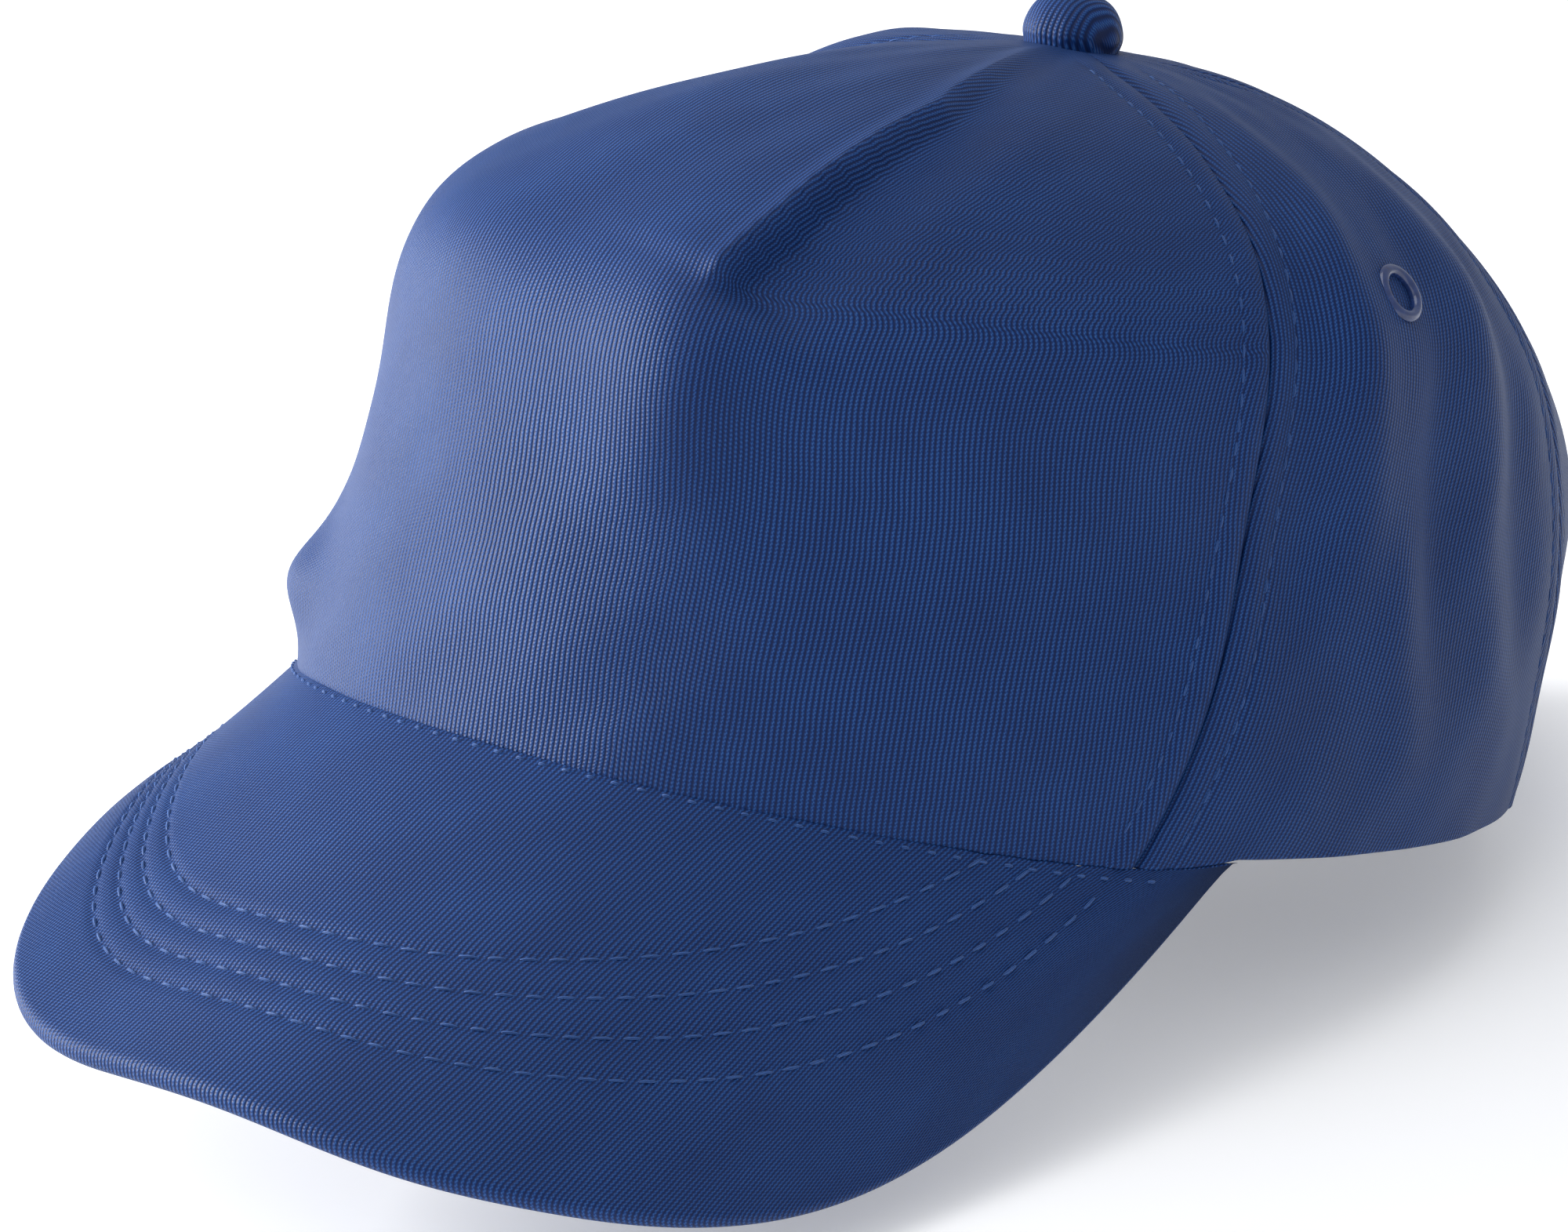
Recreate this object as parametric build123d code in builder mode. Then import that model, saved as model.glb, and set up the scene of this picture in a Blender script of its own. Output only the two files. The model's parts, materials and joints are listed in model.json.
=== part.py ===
"""Five-panel baseball cap: structured front, curved visor, touch closure at the back.

Everything is drawn in the crown's own frame, in millimetres: the head opening lies in
the XY plane, the cap faces -Y and the wearer's left is +X. The finished pieces are then
tipped onto the visor's two lobes and the back edge, the way the cap stands on a table,
with the middle of its footprint at the origin.
"""
from math import cos, degrees, radians, sin, sqrt, tan
import os

from build123d import *

# Head opening, measured outside
RIM_HALF_WIDTH = 84.0
RIM_HALF_LENGTH = 100.8
RIM_BACK_RISE = 3.0

# Crown: each reach is a share of the distance from the button's axis to the rim
CROWN_HEIGHT = 106.3
BUTTON_BACK = 12.0
LEVELS = (1.0, 0.965, 0.86, 0.68, 0.44, 0.20, 0.0)
FRONT_REACH = (0.0, 0.39, 0.69, 0.905, 0.945, 0.98, 1.0)
SIDE_REACH = (0.0, 0.39, 0.70, 0.885, 0.925, 0.985, 1.0)
BACK_REACH = (0.0, 0.37, 0.59, 0.865, 1.07, 1.04, 0.98)
RIM_LEVEL = len(LEVELS) - 1
TOP_LEVEL = 0.12
FRONT_SEAM_ANGLE = 59.6
FRONT_SEAM_BULGE = 10.0
REAR_SEAM_ANGLE = 131.0
REAR_SEAM_BULGE = 2.3

# Cloth layers, from the outside in
PANEL_THICK = 0.9
BACKING_THICK = 1.2
TAPE_THICK = 0.5
BAND_THICK = 1.0
PADDING_THICK = 1.6
LABEL_THICK = 0.3
LABEL_GAP = 0.6
LAYER_GAP = 0.25
SEAM_GAP = 0.3
TAPE_WIDTH = 12.0
TAPE_TOP_LEVEL = 1.0
BACKING_TOP_LEVEL = 0.6
BACKING_MARGIN = 3.0
BAND_HEIGHT = 32.0
BAND_TOP_LEVEL = 4.0
BAND_RIM_GAP = 1.0
LABEL_WIDTH = 30.0
LABEL_ANGLE = 138.0
LABEL_LEVELS = (4.75, 5.45)

# Visor: cloth over a board, bent to an elliptical arch whose rulings run forward and down
VISOR_RISE = 4.0
VISOR_SLOPE = 38.0
VISOR_HALF_WIDTH = RIM_HALF_WIDTH + 2.0
VISOR_ARCH = 93.5
VISOR_REACH = 56.5
VISOR_END_ANGLE = 80.0
VISOR_SIDE_PULL = (6.0, 112.0)
VISOR_FRONT_PULL = 51.0
VISOR_GAP = 0.2
COVER_THICK = 0.8
BOARD_THICK = 1.8
BOARD_GAP = 0.3
BOARD_MARGIN = 1.5

# Button on top
BUTTON_RADIUS = 7.8
BUTTON_HEIGHT = 8.0
BUTTON_COVER_THICK = 0.7
BUTTON_SHELL_THICK = 0.5
BUTTON_SEAT = 0.6
RIVET_RADIUS = 1.6
RIVET_HOLE_GAP = 0.2
WASHER_RADIUS = 6.5
WASHER_THICK = 0.8

# Vent eyelets
EYELET_ANGLE = 91.9
REAR_EYELET_ANGLE = 154.0
EYELET_LEVEL = 2.62
REAR_EYELET_LEVEL = 2.3
EYELET_BORE = 2.8
EYELET_WALL = 0.5
EYELET_FLANGE_RADIUS = 4.65
EYELET_FLANGE_THICK = 0.6
EYELET_DISH = 0.2
EYELET_HOLE_GAP = 0.15
EYELET_WASHER_RADIUS = 4.4
EYELET_WASHER_THICK = 0.5

# Back opening and its touch closure
ARCH_HALF_WIDTH = 38.0
ARCH_HEIGHT = 42.0
ARCH_START = 50.0
ARCH_LENGTH = 100.0
BACK_WALL_ANGLES = (120.0, 240.0)
BACK_WALL_TOP_LEVEL = 2.0
BINDING_WIDTH = 7.0
BINDING_THICK = 0.6
BINDING_LAP = 1.2
STRAP_HEIGHT = 19.0
STRAP_RISE = 3.5
STRAP_THICK = 1.0
STRAP_CORNER = 2.5
PAD_THICK = 0.7
PAD_MARGIN = 2.0
PAD_GAP = 0.2
CLOSURE_GAP = 0.7
STRAP_ROOT = ARCH_HALF_WIDTH - BINDING_WIDTH
STRAP_OVERLAP = 17.0
TAB_SURFACE = 0.2

# How the cap stands on a table
STAND_PITCH = 15.9


def reach_curve(reach):
    """The crown's profile in one direction, as (reach, level height)."""
    points = [(out, 0, up) for out, up in zip(reach, LEVELS)]
    return Edge.make_spline(points, parameters=[float(k) for k in range(len(points))])


FRONT_CURVE = reach_curve(FRONT_REACH)
SIDE_CURVE = reach_curve(SIDE_REACH)
BACK_CURVE = reach_curve(BACK_REACH)


def rim_distance(angle, inset):
    """Plan distance from the button's axis to the oval rim, 0 degrees at the forehead."""
    across = sin(radians(angle))
    back = -cos(radians(angle))
    half_width = RIM_HALF_WIDTH - inset
    half_length = RIM_HALF_LENGTH - inset
    square = (across / half_width) ** 2 + (back / half_length) ** 2
    linear = 2 * BUTTON_BACK * back / half_length**2
    constant = (BUTTON_BACK / half_length) ** 2 - 1
    return (-linear + sqrt(linear**2 - 4 * square * constant)) / (2 * square)


def visor_height(x, y):
    """Height of the visor's top surface."""
    drop = VISOR_ARCH * (1 - sqrt(max(1 - (x / VISOR_HALF_WIDTH) ** 2, 0)))
    return VISOR_RISE - drop + tan(radians(VISOR_SLOPE)) * (y + RIM_HALF_LENGTH)


def visor_end():
    """Where the visor's edge meets the rim, on the wearer's left."""
    turn = radians(VISOR_END_ANGLE)
    return RIM_HALF_WIDTH * sin(turn), -RIM_HALF_LENGTH * cos(turn)


def rim_height(angle):
    """Height of the crown's bottom edge: on the visor in front, nearly flat behind."""
    out = rim_distance(angle, 0)
    x = out * sin(radians(angle))
    y = BUTTON_BACK - out * cos(radians(angle))
    end_x, end_y = visor_end()
    if y < end_y:
        return visor_height(x, y)
    share = (y - end_y) / (RIM_HALF_LENGTH - end_y)
    ease = share * share * (3 - 2 * share)
    return visor_height(end_x, end_y) * (1 - ease) + RIM_BACK_RISE * ease


def crown_point(angle, level, inset=0.0):
    """A point of the crown's outer surface, or of a layer that lies deeper."""
    turn = radians(angle)
    side = sin(turn) ** 2
    curve = FRONT_CURVE if cos(turn) > 0 else BACK_CURVE
    share = level / RIM_LEVEL
    end = curve.position_at(share, position_mode=PositionMode.PARAMETER)
    flank = SIDE_CURVE.position_at(share, position_mode=PositionMode.PARAMETER)
    out = rim_distance(angle, inset) * (end.X * (1 - side) + flank.X * side)
    height = end.Z * (1 - side) + flank.Z * side
    rim = rim_height(angle)
    up = rim + (CROWN_HEIGHT - inset - rim) * height
    return Vector(out * sin(turn), BUTTON_BACK - out * cos(turn), up)


def swing(angle, level, width):
    """The angle that a width along the crown's surface takes up at one level."""
    from_axis = crown_point(angle, level) - Vector(0, BUTTON_BACK, 0)
    return degrees(width / sqrt(from_axis.X**2 + from_axis.Y**2))


def front_seam(level):
    share = level / RIM_LEVEL
    return FRONT_SEAM_ANGLE + FRONT_SEAM_BULGE * 4 * share * (1 - share)


def rear_seam(level):
    share = level / RIM_LEVEL
    return REAR_SEAM_ANGLE + REAR_SEAM_BULGE * 4 * share * (1 - share)


def back_seam(level):
    return 180.0


def crown_cloth(start, end, top, low, inset, thickness, margin=0.0, columns=16, rows=14):
    """A closed piece of cloth on the crown between two seams, trimmed by a margin."""
    grid = []
    for row in range(rows + 1):
        level = top + (low - top) * row / rows
        first = start(level) + swing(start(level), level, margin)
        last = end(level) - swing(end(level), level, margin)
        line = [first + (last - first) * k / columns for k in range(columns + 1)]
        grid.append([crown_point(angle, level, inset) for angle in line])
    face = Face.make_surface_from_array_of_points(grid)
    with BuildPart() as cloth:
        thicken(to_thicken=face, amount=-thickness)
    return cloth.part


def mirrored(seam):
    """The same seam on the wearer's right."""
    return lambda level: 360.0 - seam(level)


def shifted(seam, width):
    """A line that runs beside a seam."""
    return lambda level: seam(level) + swing(seam(level), level, width)


def below_zero(seam):
    """A right-hand seam counted back from the forehead."""
    return lambda level: -seam(level)


def arch(grow):
    """A bar through the back wall, as wide as the arched opening grown all round."""
    with BuildPart() as bar:
        with BuildSketch(Plane.XZ.offset(-ARCH_START)):
            with Locations((0, RIM_BACK_RISE)):
                Ellipse(ARCH_HALF_WIDTH + grow, ARCH_HEIGHT + grow)
        extrude(amount=-ARCH_LENGTH)
    return bar.part


BACKING_INSET = PANEL_THICK + LAYER_GAP
TAPE_INSET = BACKING_INSET + BACKING_THICK + LAYER_GAP
PADDING_INSET = TAPE_INSET + TAPE_THICK + LAYER_GAP
BAND_INSET = PADDING_INSET + PADDING_THICK + LAYER_GAP
LABEL_INSET = BAND_INSET + BAND_THICK + LABEL_GAP

pieces = {}


# Crown panels -----------------------------------------------------------------------
def crown_panel(name, start, end, vents=(), opening=False):
    """One cut panel, with its eyelet holes and its share of the back opening."""
    hole = EYELET_BORE + EYELET_WALL + EYELET_HOLE_GAP
    with BuildPart() as panel:
        add(crown_cloth(start, end, TOP_LEVEL, RIM_LEVEL, 0, PANEL_THICK, SEAM_GAP / 2))
        if opening:
            add(arch(BINDING_LAP), mode=Mode.SUBTRACT)
        for vent in vents:
            with BuildSketch(vent):
                Circle(hole)
            extrude(amount=EYELET_FLANGE_RADIUS, both=True, mode=Mode.SUBTRACT)
    pieces[name] = panel


def vent_plane(angle, level):
    """The plane of an eyelet, flat on the crown and facing out."""
    here = crown_point(angle, level)
    along = crown_point(angle + 1, level) - crown_point(angle - 1, level)
    down = crown_point(angle, level + 0.1) - crown_point(angle, level - 0.1)
    return Plane(origin=here, x_dir=along, z_dir=down.cross(along))


VENTS = {
    "left_side": vent_plane(EYELET_ANGLE, EYELET_LEVEL),
    "right_side": vent_plane(360 - EYELET_ANGLE, EYELET_LEVEL),
    "left_rear": vent_plane(REAR_EYELET_ANGLE, REAR_EYELET_LEVEL),
    "right_rear": vent_plane(360 - REAR_EYELET_ANGLE, REAR_EYELET_LEVEL),
}

crown_panel("front_panel", below_zero(front_seam), front_seam)
crown_panel("left_side_panel", front_seam, rear_seam, [VENTS["left_side"]])
crown_panel(
    "right_side_panel", mirrored(rear_seam), mirrored(front_seam), [VENTS["right_side"]]
)
crown_panel("left_rear_panel", rear_seam, back_seam, [VENTS["left_rear"]], opening=True)
crown_panel(
    "right_rear_panel", back_seam, mirrored(rear_seam), [VENTS["right_rear"]], opening=True
)

# Stiff backing behind the front panel -------------------------------------------------
with BuildPart() as backing:
    add(
        crown_cloth(
            below_zero(front_seam), front_seam, BACKING_TOP_LEVEL, RIM_LEVEL,
            BACKING_INSET, BACKING_THICK, BACKING_MARGIN,
        )
    )
pieces["front_backing"] = backing


# Tapes over the seams inside ----------------------------------------------------------
def seam_tape(name, seam, behind_arch=False):
    with BuildPart() as tape:
        add(
            crown_cloth(
                shifted(seam, -TAPE_WIDTH / 2), shifted(seam, TAPE_WIDTH / 2),
                TAPE_TOP_LEVEL, RIM_LEVEL, TAPE_INSET, TAPE_THICK, columns=4,
            )
        )
        if behind_arch:
            add(arch(BINDING_WIDTH + LAYER_GAP), mode=Mode.SUBTRACT)
    pieces[name] = tape


seam_tape("front_left_seam_tape", front_seam)
seam_tape("front_right_seam_tape", mirrored(front_seam))
seam_tape("rear_left_seam_tape", rear_seam)
seam_tape("rear_right_seam_tape", mirrored(rear_seam))
seam_tape("centre_back_seam_tape", back_seam, behind_arch=True)


# Binding round the back opening -------------------------------------------------------
def back_wall(inset, thickness):
    """The back of the crown as one thick piece."""
    start, end = BACK_WALL_ANGLES
    return crown_cloth(
        lambda level: start, lambda level: end, BACK_WALL_TOP_LEVEL, RIM_LEVEL, inset,
        thickness, columns=30,
    )


def binding_slot():
    """The room that the binding leaves for the panels' edges."""
    with BuildPart() as slot:
        add(back_wall(-LAYER_GAP, PANEL_THICK + 2 * LAYER_GAP))
        add(arch(BINDING_LAP - LAYER_GAP), mode=Mode.SUBTRACT)
    return slot.part


with BuildPart() as binding:
    add(back_wall(-BINDING_THICK, PANEL_THICK + 2 * BINDING_THICK))
    add(arch(BINDING_WIDTH), mode=Mode.INTERSECT)
    add(arch(0), mode=Mode.SUBTRACT)
    add(binding_slot(), mode=Mode.SUBTRACT)
pieces["back_opening_binding"] = binding


# Sweatband ------------------------------------------------------------------------------
def sweat_layer(name, inset, thickness):
    """A low band round the inside of the rim, open at the back opening."""
    low = Plane.XY.offset(VISOR_RISE + BAND_RIM_GAP)
    with BuildPart() as band:
        add(
            crown_cloth(
                lambda level: -180.0 + OPENING_ANGLE, lambda level: 180.0 - OPENING_ANGLE,
                BAND_TOP_LEVEL, RIM_LEVEL, inset, thickness, columns=40, rows=10,
            )
        )
        with BuildSketch(low.offset(BAND_HEIGHT)):
            Rectangle(4 * RIM_HALF_WIDTH, 4 * RIM_HALF_LENGTH)
        extrude(amount=CROWN_HEIGHT, mode=Mode.SUBTRACT)
    pieces[name] = band


BINDING_EDGE = ARCH_HALF_WIDTH + BINDING_WIDTH + LAYER_GAP
OPENING_ANGLE = degrees(BINDING_EDGE / (RIM_HALF_LENGTH - BUTTON_BACK))
sweat_layer("sweatband_padding", PADDING_INSET, PADDING_THICK)
sweat_layer("sweatband", BAND_INSET, BAND_THICK)


# Visor ----------------------------------------------------------------------------------
def visor_layer(name, depth, thickness, margin):
    """One layer of the visor, a depth below its top surface, cut square at its edge."""
    slope = radians(VISOR_SLOPE)
    end_x, end_y = visor_end()
    side_x = end_x - margin - depth
    front = -RIM_HALF_LENGTH - VISOR_REACH + margin + depth * sin(slope)
    pull_out, pull_forward = VISOR_SIDE_PULL
    start_y = end_y + VISOR_REACH / 2
    centre = VISOR_RISE - VISOR_ARCH + tan(radians(VISOR_SLOPE)) * (start_y + RIM_HALF_LENGTH)
    across = VISOR_HALF_WIDTH - depth
    up = VISOR_ARCH - depth
    with BuildPart() as layer:
        with BuildSketch(Plane.XZ.offset(-start_y)):
            with Locations((0, centre)):
                Ellipse(across, up)
                Ellipse(across - thickness, up - thickness, mode=Mode.SUBTRACT)
            with Locations((0, centre + VISOR_ARCH)):
                Rectangle(4 * VISOR_HALF_WIDTH, 2 * VISOR_ARCH, mode=Mode.INTERSECT)
        extrude(amount=4 * VISOR_REACH / cos(slope), dir=(0, -cos(slope), -sin(slope)))
        with BuildSketch(Plane.XY.offset(-CROWN_HEIGHT)):
            with BuildLine():
                Bezier(
                    (side_x, end_y),
                    (side_x + pull_out, end_y - pull_forward),
                    (VISOR_FRONT_PULL, front),
                    (0, front),
                )
                mirror(about=Plane.YZ)
                Line((side_x, end_y), (-side_x, end_y))
            make_face()
            Ellipse(
                RIM_HALF_WIDTH + VISOR_GAP + margin,
                RIM_HALF_LENGTH + VISOR_GAP + margin,
                mode=Mode.SUBTRACT,
            )
        extrude(amount=2 * CROWN_HEIGHT, mode=Mode.INTERSECT)
    pieces[name] = layer


BOARD_DEPTH = COVER_THICK + BOARD_GAP
UNDER_DEPTH = BOARD_DEPTH + BOARD_THICK + BOARD_GAP
visor_layer("visor_top_cover", 0, COVER_THICK, 0)
visor_layer("visor_board", BOARD_DEPTH, BOARD_THICK, BOARD_MARGIN)
visor_layer("visor_under_cover", UNDER_DEPTH, COVER_THICK, 0)


# Button ---------------------------------------------------------------------------------
AXIS_PLANE = Plane.XZ.offset(-BUTTON_BACK)
BUTTON_AXIS = Axis((0, BUTTON_BACK, 0), (0, 0, 1))
BUTTON_BASE = CROWN_HEIGHT + LAYER_GAP
SHELL_RADIUS = BUTTON_RADIUS - BUTTON_COVER_THICK
SHELL_HEIGHT = BUTTON_HEIGHT - BUTTON_COVER_THICK
CORE_RADIUS = SHELL_RADIUS - BUTTON_SHELL_THICK
CORE_HEIGHT = SHELL_HEIGHT - BUTTON_SHELL_THICK


def dome(radius, height, inner_radius, inner_height):
    """A hollow, flattened half ball that stands on the crown."""
    top = BUTTON_BASE + height
    inner_top = BUTTON_BASE + inner_height
    with BuildPart() as shell:
        with BuildSketch(AXIS_PLANE):
            with BuildLine():
                Spline((radius, BUTTON_BASE), (0, top), tangents=((0, 1), (-1, 0)))
                Line((0, top), (0, inner_top))
                Spline((inner_radius, BUTTON_BASE), (0, inner_top), tangents=((0, 1), (-1, 0)))
                Line((inner_radius, BUTTON_BASE), (radius, BUTTON_BASE))
            make_face()
        revolve(axis=BUTTON_AXIS)
    return shell


pieces["top_button_cover"] = dome(BUTTON_RADIUS, BUTTON_HEIGHT, SHELL_RADIUS, SHELL_HEIGHT)
pieces["top_button_shell"] = dome(SHELL_RADIUS, SHELL_HEIGHT, CORE_RADIUS, CORE_HEIGHT)

WASHER_TOP = CROWN_HEIGHT - TAPE_INSET - TAPE_THICK - LAYER_GAP - BUTTON_SEAT
with BuildPart() as rivet:
    with BuildSketch(Plane.XY.offset(BUTTON_BASE)):
        with Locations((0, BUTTON_BACK)):
            Circle(CORE_RADIUS)
    extrude(amount=BUTTON_SEAT)
    with BuildSketch(Plane.XY.offset(WASHER_TOP - WASHER_THICK)):
        with Locations((0, BUTTON_BACK)):
            Circle(RIVET_RADIUS)
    extrude(until=Until.NEXT)
pieces["top_button_rivet"] = rivet

with BuildPart() as washer:
    with BuildSketch(Plane.XY.offset(WASHER_TOP)):
        with Locations((0, BUTTON_BACK)):
            Circle(WASHER_RADIUS)
            Circle(RIVET_RADIUS + RIVET_HOLE_GAP, mode=Mode.SUBTRACT)
    extrude(amount=-WASHER_THICK)
pieces["top_button_washer"] = washer


# Eyelets --------------------------------------------------------------------------------
def eyelet(name, vent):
    """A rolled eyelet from outside and the washer that it is set on inside."""
    tube = EYELET_BORE + EYELET_WALL
    depth = PANEL_THICK + EYELET_DISH + EYELET_WASHER_THICK
    with BuildPart() as ring:
        with BuildSketch(vent.offset(EYELET_DISH)):
            Circle(EYELET_FLANGE_RADIUS)
            Circle(EYELET_BORE, mode=Mode.SUBTRACT)
        extrude(amount=EYELET_FLANGE_THICK)
        with BuildSketch(vent.offset(EYELET_DISH)):
            Circle(tube)
            Circle(EYELET_BORE, mode=Mode.SUBTRACT)
        extrude(amount=-depth - EYELET_DISH)
    pieces[name + "_eyelet"] = ring
    with BuildPart() as backing_ring:
        with BuildSketch(vent.offset(-PANEL_THICK - LAYER_GAP)):
            Circle(EYELET_WASHER_RADIUS)
            Circle(tube + EYELET_HOLE_GAP, mode=Mode.SUBTRACT)
        extrude(amount=-EYELET_WASHER_THICK)
    pieces[name + "_eyelet_washer"] = backing_ring


for vent_name, vent in VENTS.items():
    eyelet(vent_name, vent)


# Touch closure --------------------------------------------------------------------------
def closure_layer(name, inset, thickness, left, right, margin=0.0):
    """A layer of the closure between two places across the back, left being +X."""
    with BuildPart() as layer:
        add(back_wall(inset, thickness))
        with BuildSketch(Plane.XZ.offset(-ARCH_START)):
            with Locations(((left + right) / 2, RIM_BACK_RISE + STRAP_RISE + STRAP_HEIGHT / 2)):
                RectangleRounded(
                    abs(left - right) - 2 * margin, STRAP_HEIGHT - 2 * margin, STRAP_CORNER
                )
        extrude(amount=-ARCH_LENGTH, mode=Mode.INTERSECT)
    pieces[name] = layer


HOOK_INSET = TAB_SURFACE + STRAP_THICK + PAD_GAP
LOOP_INSET = HOOK_INSET + PAD_THICK + CLOSURE_GAP
STRAP_INSET = LOOP_INSET + PAD_THICK + PAD_GAP
closure_layer("hook_tab", TAB_SURFACE, STRAP_THICK, STRAP_OVERLAP, -STRAP_ROOT)
closure_layer("hook_pad", HOOK_INSET, PAD_THICK, STRAP_OVERLAP, -STRAP_OVERLAP, PAD_MARGIN)
closure_layer("loop_pad", LOOP_INSET, PAD_THICK, STRAP_OVERLAP, -STRAP_OVERLAP, PAD_MARGIN)
closure_layer("loop_strap", STRAP_INSET, STRAP_THICK, STRAP_ROOT, -STRAP_OVERLAP)


# Blank care label on the sweatband ------------------------------------------------------
def label_line(level):
    return LABEL_ANGLE


with BuildPart() as label:
    add(
        crown_cloth(
            shifted(label_line, -LABEL_WIDTH / 2), shifted(label_line, LABEL_WIDTH / 2),
            *LABEL_LEVELS, LABEL_INSET, LABEL_THICK, columns=4, rows=4,
        )
    )
pieces["care_label"] = label


# Standing on a table --------------------------------------------------------------------
def standing(point):
    """Where a point of the crown's frame comes to, on the table."""
    return (stand * Location(point)).position


tipped = Location((0, 0, 0), (-STAND_PITCH, 0, 0))
whole = Compound(children=[piece.part.moved(tipped) for piece in pieces.values()])
footprint = whole.bounding_box()
centre = footprint.center()
stand = Location((-centre.X, -centre.Y, -footprint.min.Z)) * tipped

os.makedirs("parts", exist_ok=True)
for name, piece in pieces.items():
    piece.part.locate(stand)
    piece.part.label = name
    export_step(piece.part, f"parts/{name}.step")

# Hinge lines of the closure, which run up the back wall through each strap's root
for name, side, inset in (("hook tab", -1, TAB_SURFACE), ("loop strap", 1, STRAP_INSET)):
    turn = 180 - side * degrees(STRAP_ROOT / (RIM_HALF_LENGTH - BUTTON_BACK))
    for level in (RIM_LEVEL, RIM_LEVEL - 1):
        wall = crown_point(turn, level, inset + STRAP_THICK / 2)
        print(name, "hinge passes", standing((side * STRAP_ROOT, wall.Y, wall.Z)))
print("head opening centre", standing((0, 0, 0)), "axis end", standing((0, 0, 1)))
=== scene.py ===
"""Looks of a five-panel baseball cap: twill crown, topstitched visor and touch closure.

The shapes are worked out in millimetres in the crown's own frame, as in the CAD: the rim
lies in the XY plane, the cap faces -Y and the wearer's left is +X. to_row() brings them to
the row frame in metres, from the place and axis of the head_opening mount.
"""

import json
import math

import bpy
import numpy as np
from mathutils import Matrix, Vector
from mathutils.bvhtree import BVHTree

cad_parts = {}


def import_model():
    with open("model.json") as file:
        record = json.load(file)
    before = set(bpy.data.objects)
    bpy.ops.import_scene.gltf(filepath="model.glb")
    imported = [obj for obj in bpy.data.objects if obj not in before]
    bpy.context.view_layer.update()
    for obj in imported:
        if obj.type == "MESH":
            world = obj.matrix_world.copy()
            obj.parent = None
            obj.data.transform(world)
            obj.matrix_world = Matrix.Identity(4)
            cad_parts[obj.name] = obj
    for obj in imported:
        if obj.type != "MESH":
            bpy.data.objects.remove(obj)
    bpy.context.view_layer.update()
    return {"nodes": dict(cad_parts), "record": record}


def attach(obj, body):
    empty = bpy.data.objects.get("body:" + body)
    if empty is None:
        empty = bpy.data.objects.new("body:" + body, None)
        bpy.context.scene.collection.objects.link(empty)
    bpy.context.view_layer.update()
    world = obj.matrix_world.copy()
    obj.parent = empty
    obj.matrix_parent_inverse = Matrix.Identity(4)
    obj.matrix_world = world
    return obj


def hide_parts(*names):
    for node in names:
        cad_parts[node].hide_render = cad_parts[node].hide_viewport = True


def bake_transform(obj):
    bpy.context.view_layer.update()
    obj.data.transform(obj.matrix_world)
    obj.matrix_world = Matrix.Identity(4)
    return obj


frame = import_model()

MM = 0.001
MOUNT = next(m for m in frame["record"]["mounts"] if m["name"] == "head_opening")
ORIGIN = np.array(MOUNT["pos_m"])
UP = -np.array(MOUNT["axis"])
SIDE = np.array((1.0, 0.0, 0.0))
BACK = np.cross(UP, SIDE)

# The CAD's crown
RIM_HALF_WIDTH = 84.0
RIM_HALF_LENGTH = 100.8
RIM_BACK_RISE = 3.0
CROWN_HEIGHT = 106.3
BUTTON_BACK = 12.0
LEVELS = (1.0, 0.965, 0.86, 0.68, 0.44, 0.20, 0.0)
FRONT_REACH = (0.0, 0.39, 0.69, 0.905, 0.945, 0.98, 1.0)
SIDE_REACH = (0.0, 0.39, 0.70, 0.885, 0.925, 0.985, 1.0)
BACK_REACH = (0.0, 0.37, 0.59, 0.865, 1.07, 1.04, 0.98)
RIM_LEVEL = 6.0
TOP_LEVEL = 0.12
FRONT_SEAM = (59.6, 10.0)
REAR_SEAM = (131.0, 2.3)
BACK_SEAM = (180.0, 0.0)

# The CAD's visor
VISOR_RISE = 4.0
VISOR_SLOPE = math.tan(math.radians(38.0))
VISOR_HALF_WIDTH = 86.0
VISOR_ARCH = 93.5
VISOR_REACH = 56.5
VISOR_END_ANGLE = 80.0
VISOR_SIDE_PULL = (6.0, 112.0)
VISOR_FRONT_PULL = 51.0
VISOR_THICK = 4.0

# The CAD's layers and closure
PANEL = 0.9
BACKING_DEPTH, BACKING = 1.15, 1.2
TAPE_DEPTH, TAPE, TAPE_WIDTH = 2.6, 0.5, 12.0
PADDING_DEPTH, PADDING = 3.35, 1.6
BAND_DEPTH, BAND, BAND_TOP = 5.2, 1.0, 37.0
ARCH_HALF_WIDTH, ARCH_HEIGHT = 38.0, 42.0
BINDING_WIDTH = 7.0
STRAP_RISE, STRAP_HEIGHT, STRAP_THICK = 3.5, 19.0, 1.0
STRAP_ROOT, STRAP_LAP = 31.0, 17.0
STRAP_MIDDLE = RIM_BACK_RISE + STRAP_RISE + STRAP_HEIGHT / 2
TAB_DEPTH, LOOP_DEPTH = 0.2, 3.5
EYELETS = {"left_side": (91.9, 2.62), "right_side": (268.1, 2.62), "left_rear": (154.0, 2.3),
           "right_rear": (206.0, 2.3)}

# What only the looks need
LINING_LEVEL = RIM_LEVEL - 0.12
SEAM_HALF_GAP = 0.1
SEAM_STITCH = 5.2
COVER = 0.8
BOARD_DEPTH = 1.1
ROW_INSETS = (16.1, 21.3, 26.5, 31.8)
VISOR_SEAM_GROW = 1.002

SMALLEST_SHEET, SMALLEST_SHARE = 10.0, 0.31

rng = np.random.default_rng(7)


# Curves and numbers -------------------------------------------
def to_row(points):
    points = np.asarray(points, float)
    return ORIGIN + MM * (points[..., :1] * SIDE + points[..., 1:2] * BACK + points[..., 2:] * UP)


def ease(t):
    t = np.clip(t, 0.0, 1.0)
    return t * t * (3.0 - 2.0 * t)


def bell(distance, width):
    return np.exp(-(distance / width) ** 2)


def unit(vectors):
    return vectors / np.maximum(np.linalg.norm(vectors, axis=-1, keepdims=True), 1e-12)


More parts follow.
